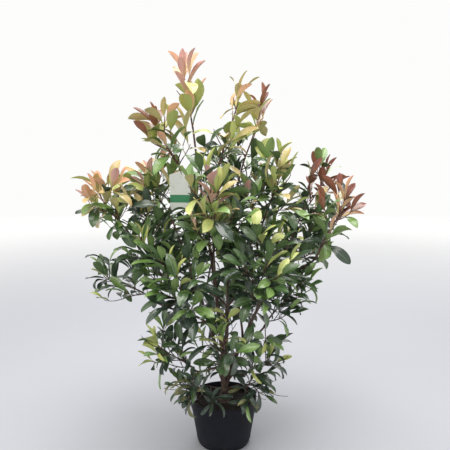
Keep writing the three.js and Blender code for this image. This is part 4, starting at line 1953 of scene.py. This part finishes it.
@dataclass
class Crown:
    """The masses of leaves: twigs that branch from each shoot's stem, down to the finest.

    A stem carries twigs, a twig carries finer sprigs, and a stray is a thin twig without leaves. Where a
    size, place or lift is dealt, its field holds the least and the most.
    """

    wood: Wood
    card: Card
    pot: Pot
    stem_tip: float = 1.7 * MM
    twig_foot: float = 2.4 * MM
    twig_tip: float = 1.4 * MM
    sprig_foot: float = 1.6 * MM
    sprig_tip: float = 1.1 * MM
    twig_ring: float = 7 * MM
    swell: float = 0.09
    bud: tuple[tuple[float, float], ...] = ((1.2, 1.15), (3.0, 0.95), (5.0, 0.35))
    gap: float = 0.3 * MM  # from a bough's end to the stem that goes on from it
    long_twig: float = 55 * MM  # a shorter one carries one finer twig at most
    lean: float = 0.95
    lift: float = 0.35
    unripe: float = 0.35  # the ripeness at an axis's foot, as a share of that at its tip
    reddens: float = 0.45  # the ripeness from which the twigs of a young shoot are red
    first: float = 0.1
    last: float = 0.8
    top_twig: float = 0.6  # how long a twig at the stem's tip is, as a share of one at its foot
    twig_sizes: tuple[float, float] = (0.8, 1.1)
    sprig_places: tuple[float, float] = (0.25, 0.45)
    sprig_sizes: tuple[float, float] = (0.5, 0.75)
    sprig_step: float = 0.3
    sprig_turn: float = 2.4
    stray_places: tuple[float, float] = (0.02, 0.9)
    stray_sizes: tuple[float, float] = (0.9, 1.5)
    stray_turn: float = 1.2
    stray_tip: float = 0.8  # how thin its tip is beside a sprig's
    runner_lift: float = 0.35
    runner_tips: tuple[float, float] = (0.5, 0.1)  # how much a runner lifts at its tip: plain or hanging
    runner_feet: tuple[float, float] = (0.6, 0.75)  # its leafless share: plain or hanging
    slack: float = 15 * MM
    samples: int = 5
    feel_step: float = 25 * MM
    clearance: float = 0.4 * MM
    pot_room: float = 4 * MM
    box_room: float = 6 * MM
    lowest: float = 20 * MM
    bare_feet: tuple[float, ...] = (0.3, 0.2, 0.25)  # the leafless share of an axis, by its order
    most_leaves: int = 12
    end_leaf: float = 0.995
    lean_sizes: tuple[float, float] = (0.8, 1.2)
    lean_drop: float = 1.2
    end_lean: float = 0.3  # the share that is left of the last leaf's lean
    by_ripeness: float = 0.6  # what a leaf's youth takes from its axis's ripeness,
    by_age: float = 0.4  # from its own place on the axis
    by_luck: float = 0.08  # and, up or down, from luck
    young_age: float = 0.7
    grown_age: float = 0.4
    leaf_sizes: tuple[float, float] = (0.78, 1.1)
    shrink_age: float = 0.75
    shrunk: float = 0.85
    hanging_lifts: tuple[float, float] = (-0.35, 0.2)
    leaf_lifts: tuple[float, float] = (-0.3, 1.3)
    leaf_lift: float = 0.25
    facing: float = 0.6  # how much a leaf's upper side faces along its twig, beside 1 straight up
    roll: float = 0.7  # the most that it is rolled about its own length
    apart: float = 0.35  # the share of leaves whose tint is dealt apart from their axis's
    shifts: tuple[float, ...] = (0.0, 0.6, -0.6, 1.2, -1.3, 2.2)
    moulds: int = 6
    mould_seed: int = 7
    seed: int = 1000
    seed_step: int = 77
    marks: int = 0
    thicket: Thicket = field(default_factory=Thicket)
    twigs: dict[bool, list[Shape]] = field(default_factory=lambda: {False: [], True: []})
    leaves: dict[Tint, list[Shape]] = field(default_factory=lambda: {tint: [] for tint in Tint})
    stems: list[Bend] = field(default_factory=list)
    cuts: dict[Habit, list[Shape]] = field(init=False)
    feelers: dict[Habit, tuple[Array, list[Face]]] = field(init=False)
    spines: Array = field(init=False)

    def prepare(self) -> None:
        """Sets out the stems, the room that each mass may take, and what stands in the way."""
        dice = Dice(self.mould_seed)
        self.cuts = {habit: [habit.mould(dice) for _ in range(self.moulds)] for habit in HABITS}
        self.feelers = {habit: habit.coarse() for habit in HABITS}
        for shoot in SHOOTS:
            way = shoot.neck_way()
            neck, tip = np.array(shoot.neck) * MM, np.array(shoot.tip) * MM
            start = neck + way * self.gap
            self.stems.append(Bend(start, way, tip, unit(unit(tip - start) + UP)))
        shares = np.linspace(0, 1, self.samples + 1)
        self.spines = np.array([stem.points(shares) for stem in self.stems])
        for limb in self.wood.limbs.values():
            self.block(limb, 6)
        box, faces = self.card.room(self.wood)
        self.thicket.add(BVHTree.FromPolygons(box.tolist(), faces), box, -1)

    def block(self, limb: Limb, sides: int) -> int:
        """Puts a limb or twig in the way of what grows later.

        Args:
            limb: its curve and radii.
            sides: how finely it is felt.

        Returns:
            The number that it is known by.
        """
        self.marks += 1
        shares = np.linspace(0, 1, max(4, int(limb.curve.length / self.feel_step)))
        skin = tube(limb.curve.points(shares), np.asarray(limb.radius(shares)) + self.clearance, sides)
        faces = np.split(skin.corners, np.cumsum(skin.sizes)[:-1])
        tree = BVHTree.FromPolygons(skin.vertices.tolist(), [f.tolist() for f in faces])
        self.thicket.add(tree, skin.vertices, self.marks)
        return self.marks

    def keeps_space(self, point: Array, mass: int) -> bool:
        """Whether a point is nearer to the mass's own stem than to any other's.

        Args:
            point: the point.
            mass: the mass's number.

        Returns:
            True if it is, or if it is no more than the slack further away.
        """
        near = np.linalg.norm(self.spines - point, axis=2).min(1)
        own = near[mass] - self.slack
        near[mass] = np.inf
        return bool((near > own).all())

    def in_the_open(self, points: Array) -> bool:
        """Whether points keep out of the pot, the soil and the openings, and inside the solids' box.

        Args:
            points: one row for each point.

        Returns:
            True if all of them do.
        """
        out = np.hypot(points[:, 0], points[:, 1])
        wide, tall = self.pot.rim_radius + self.pot_room, self.pot.height + self.pot_room
        inside = (points[:, 2] < tall) & (out < wide)
        low, high = np.array(SOLID_BOX[0]) - self.box_room, np.array(SOLID_BOX[1]) + self.box_room
        low[2] = self.lowest
        if inside.any() or any(opening.holds(points) for opening in OPENINGS):
            return False
        return bool((points > low).all() and (points < high).all())

    def grow(self) -> None:
        """Grows every mass."""
        self.prepare()
        axes: list[tuple[int, Axis, Dice]] = []
        for mass, shoot in enumerate(SHOOTS):
            dice = Dice(self.seed + mass * self.seed_step + shoot.luck)
            for axis in self.branch(mass, shoot, dice):
                axes.append((mass, axis, dice))
        for mass, axis, dice in sorted(axes, key=lambda row: row[1].order):
            self.clothe(mass, axis, dice)

    def branch(self, mass: int, shoot: Shoot, dice: Dice) -> list[Axis]:
        """Grows the wood of one mass.

        Args:
            mass: its number.
            shoot: its sizes.
            dice: its own row of numbers.

        Returns:
            Its stem and its twigs.
        """
        stem = Limb(self.stems[mass], self.wood.neck_radius, self.stem_tip)
        axes = [Axis(stem, 0, 1.0, self.block(stem, 5))]
        first_turn = dice.between(0, 2 * math.pi)
        for i in range(shoot.twigs):
            share = mix(self.first, self.last, i / (shoot.twigs - 1))
            length = shoot.spread * MM * mix(1, self.top_twig, share) * dice.between(*self.twig_sizes)
            turn = first_turn + i * GOLDEN_ANGLE
            twig = self.sprout(axes[0], share, turn, length, (self.twig_foot, self.twig_tip), mass)
            if twig:
                axes.append(twig)
        for twig in axes[1:]:
            finer = shoot.flush.value.finer
            count = finer if twig.limb.curve.length > self.long_twig else min(finer, 1)
            turn = dice.between(0, 2 * math.pi)
            for i in range(count):
                share = dice.between(*self.sprig_places) + self.sprig_step * i
                length = twig.limb.curve.length * dice.between(*self.sprig_sizes)
                radii = (self.sprig_foot, self.sprig_tip)
                sprig = self.sprout(twig, share, turn + i * self.sprig_turn, length, radii, mass)
                if sprig:
                    axes.append(sprig)
        for i in range(shoot.flush.value.bare):
            length = shoot.spread * MM * dice.between(*self.stray_sizes)
            turn = first_turn + self.stray_turn + i * GOLDEN_ANGLE
            radii = (self.sprig_foot, self.sprig_tip * self.stray_tip)
            stray = self.sprout(axes[0], dice.between(*self.stray_places), turn, length, radii, mass)
            if stray:
                stray.leaves = 0
                axes.append(stray)
        for runner in RUNNERS:
            if runner.mass == shoot.name:
                axes.append(self.run(axes[0], runner))
        young = shoot.flush in (Flush.TOP, Flush.MIXED, Flush.RUST, Flush.COPPER, Flush.BRONZE)
        for axis in axes:
            self.twigs[young and axis.ripeness > self.reddens].append(self.twig_shape(axis))
        return axes

    def sprout(
        self, parent: Axis, share: float, turn: float, length: float, radii: tuple[float, float], mass: int
    ) -> Axis | None:
        """Grows one twig, unless it would leave the mass's space.

        Args:
            parent: the axis that it leaves.
            share: how far up that axis.
            turn: its turn about that axis.
            length: its length.
            radii: its radius at its foot and at its tip.
            mass: the mass's number.

        Returns:
            The twig, or None.
        """
        start = parent.limb.curve.point(share)
        way = lean_from(parent.limb.curve.way(share), turn, self.lean, 0)
        end = start + way * length + UP * length * self.lift
        curve = Bend(start, way, end, unit(way + UP * 2 * self.lift))
        if not self.keeps_space(end, mass) or not self.in_the_open(curve.points(np.linspace(0.2, 1, 5))):
            return None
        limb = Limb(curve, *radii)
        ripeness = parent.ripeness * mix(self.unripe, 1.0, share)
        return Axis(limb, parent.order + 1, ripeness, self.block(limb, 4))

    def run(self, stem: Axis, runner: Runner) -> Axis:
        """Grows a listed twig.

        Args:
            stem: the stem that it leaves.
            runner: its place.

        Returns:
            The twig.
        """
        start, end = stem.limb.curve.point(runner.share), np.array(runner.end) * MM
        straight, lift = unit(end - start), self.runner_tips[runner.hanging]
        curve = Bend(start, unit(straight + UP * self.runner_lift), end, unit(straight + UP * lift))
        limb = Limb(curve, self.twig_foot, self.sprig_tip)
        mark = self.block(limb, 4)
        return Axis(limb, 1, runner.ripeness, mark, leaves=runner.leaves, hanging=runner.hanging)

    def twig_shape(self, axis: Axis) -> Shape:
        """The mesh of a twig, with slight swellings along it and a bud at the end.

        Args:
            axis: the twig.

        Returns:
            The closed mesh.
        """
        curve = axis.limb.curve
        count = max(6, int(curve.length / self.twig_ring))
        shares = np.linspace(0, 1, count)
        radii = np.asarray(axis.limb.radius(shares)) * (1 + self.swell * np.cos(np.arange(count) * math.pi))
        places = curve.points(shares)
        bud, way = axis.limb.tip, curve.way(1.0)
        for reach, swell in self.bud:
            places = np.vstack([places, curve.point(1.0) + way * reach * bud])
            radii = np.append(radii, bud * swell)
        return tube(places, radii, 7 if axis.order == 0 else 6)

    def clothe(self, mass: int, axis: Axis, dice: Dice) -> None:
        """Sets the leaves of one axis, from its foot to its tip.

        Args:
            mass: the mass's number.
            axis: the axis.
            dice: the mass's own row of numbers.
        """
        growth: Growth = SHOOTS[mass].flush.value
        foot = self.bare_feet[axis.order]
        length = axis.limb.curve.length * (1 - foot)
        count = int(np.clip(round(length / (growth.gap * MM)) + 2, 3, self.most_leaves))
        if axis.leaves >= 0:
            count, foot = axis.leaves, self.runner_feet[axis.hanging]
        axis.pick = dice.roll()
        turn = dice.between(0, 2 * math.pi)
        for i in range(count):
            way_up = i / max(count - 1, 1)
            share = mix(foot, self.end_leaf, way_up**growth.crowd)
            lean = mix(*growth.leans, way_up**self.lean_drop) * dice.between(*self.lean_sizes)
            if i == count - 1:
                lean *= self.end_lean
            self.leaf_at(mass, axis, share, turn + i * GOLDEN_ANGLE, lean, way_up, dice)

    def leaf_at(
        self, mass: int, axis: Axis, share: float, turn: float, lean: float, age: float, dice: Dice
    ) -> None:
        """Sets one leaf: if something is in its way it is turned a little, and at last left out.

        Args:
            mass: the mass's number.
            axis: the axis that carries it.
            share: how far up the axis.
            turn: its turn about the axis.
            lean: its angle from the axis.
            age: 0 for the oldest leaf of the axis, 1 for the youngest.
            dice: the mass's own row of numbers.
        """
        along, base = axis.limb.curve.way(share), axis.limb.curve.point(share)
        growth: Growth = SHOOTS[mass].flush.value
        ripeness = axis.ripeness * (mix(self.unripe, 1.0, share) if axis.order == 0 else 1.0)
        youth = ripeness * self.by_ripeness + age * self.by_age
        youth += dice.between(-self.by_luck, self.by_luck)
        tint = growth.tint(youth, dice.roll() if dice.chance(self.apart) else axis.pick)
        young = tint in (Tint.COPPER, Tint.ROSE)
        young = young or (tint in (Tint.BRONZE, Tint.LIME) and age > self.young_age)
        habit = YOUNG if young else (GROWN if age > self.grown_age else AGED)
        sink = axis.hanging or tint is Tint.DRY or dice.chance(growth.narrow)
        if sink:
            habit = HANGING
        size = growth.leaf * MM * dice.between(*self.leaf_sizes)
        size *= mix(1, self.shrunk, age) if age > self.shrink_age else 1
        for shift in self.shifts:
            lift = dice.between(*(self.hanging_lifts if sink else self.leaf_lifts))
            lift *= 1 if sink else self.leaf_lift
            way = lean_from(along, turn + shift, lean, lift)
            face = along * self.facing + UP
            normal = unit(face - way * np.dot(face, way))
            normal = turned(normal, way, dice.between(-self.roll, self.roll))
            turning = np.array([way, np.cross(normal, way), normal])
            spots, faces = self.feelers[habit]
            felt = spots * size @ turning + base
            middle = felt[1:5].mean(0)
            if not self.keeps_space(middle, mass) or not self.in_the_open(felt):
                continue
            tree = BVHTree.FromPolygons(felt.tolist(), faces)
            if self.thicket.meets(tree, felt, axis.mark):
                continue
            self.thicket.add(tree, felt, 0)
            shape = self.cuts[habit][int(dice.roll() * self.moulds)]
            self.leaves[tint].append(shape.moved(shape.vertices * size @ turning + base))
            return

    def build(self) -> None:
        """Makes the pieces: one for each tint of leaf and two for the twigs."""
        masses = [f"leaves_{shoot.name}" for shoot in SHOOTS]
        brown = ShootFinish("twig_brown", "2E1E1C", "5A4036", 0.5).material()
        red = ShootFinish("twig_red", "4A2622", "77453A", 0.38).material()
        dress(piece_from("twigs_brown", joined(self.twigs[False])), "bark", masses, brown)
        dress(piece_from("twigs_red", joined(self.twigs[True])), "bark", [], red)
        for tint, shapes in self.leaves.items():
            finish: LeafFinish = tint.value
            slot = "flush_leaf" if tint in (Tint.COPPER, Tint.ROSE, Tint.BRONZE) else "green_leaf"
            piece = piece_from(f"leaves_{finish.name}", joined(shapes), 70)
            dress(piece, slot, [], *finish.materials())
            LOG.info("%s: %d leaves", piece.name, len(shapes))


# ---------- Studio ----------


@dataclass
class Studio:
    """A plain pale floor, soft light and the camera."""

    camera_place: Point = (0.005, -1.84, 1.077)
    camera_down: float = 7.2  # degrees below level
    lens: float = 40.0
    sensor: float = 36.0
    floor_size: float = 16.0
    aim: float = 0.72  # the height that the lamps face
    sky: str = "FDFDFC"
    sky_strength: float = 1.0

    def build(self) -> None:
        """Sets the floor, the world, the lamps and the camera."""
        floor = start_piece("floor", bpy.ops.mesh.primitive_plane_add, size=self.floor_size)
        floor.data.materials.append(FloorFinish().material())
        world = bpy.data.worlds.new("studio")
        world.use_nodes = True
        background = world.node_tree.nodes["Background"]
        background.inputs["Color"].default_value = (*light_of(self.sky), 1)
        background.inputs["Strength"].default_value = self.sky_strength
        bpy.context.scene.world = world
        bpy.context.scene.view_settings.view_transform = "Standard"
        self.lamp("key", (-1.6, -2.4, 3.4), 2.2, 55, "FFFBF4")
        self.lamp("overhead", (0.1, -0.3, 4.6), 3.2, 190, "FFFEFB")
        self.lamp("behind", (0.6, 2.6, 2.8), 2.0, 40, "FFFFFF")
        self.look()

    def lamp(self, name: str, place: Point, size: float, power: float, colour: str) -> None:
        """Sets one square soft lamp that faces the plant.

        Args:
            name: the lamp's name.
            place: where it stands.
            size: the length of its side.
            power: its power in watts.
            colour: its colour's code.
        """
        light = bpy.data.lights.new(name, "AREA")
        light.size, light.energy, light.color = size, power, light_of(colour)
        holder = bpy.data.objects.new(name, light)
        holder.location = place
        facing = Vector((0, 0, self.aim)) - Vector(place)
        holder.rotation_euler = facing.to_track_quat("-Z", "Y").to_euler()
        bpy.context.scene.collection.objects.link(holder)

    def look(self) -> None:
        """Sets the camera, a little above the crown's middle and tilted down."""
        camera = bpy.data.cameras.new("camera")
        camera.lens, camera.sensor_width = self.lens, self.sensor
        holder = bpy.data.objects.new("camera", camera)
        holder.location = self.camera_place
        holder.rotation_euler = (math.radians(90 - self.camera_down), 0, 0)
        bpy.context.scene.collection.objects.link(holder)
        bpy.context.scene.camera = holder


def main() -> None:
    """Builds the plant from the pot up and sets the studio round it."""
    logging.basicConfig(level=logging.INFO, format="%(name)s: %(message)s")
    pot = Pot()
    pot.build()
    Soil(pot).build()
    wood = Wood()
    wood.grow()
    wood.build()
    card = Card()
    card.build(wood)
    crown = Crown(wood, card, pot)
    crown.grow()
    crown.build()
    Studio().build()


if __name__ == "__main__":
    main()
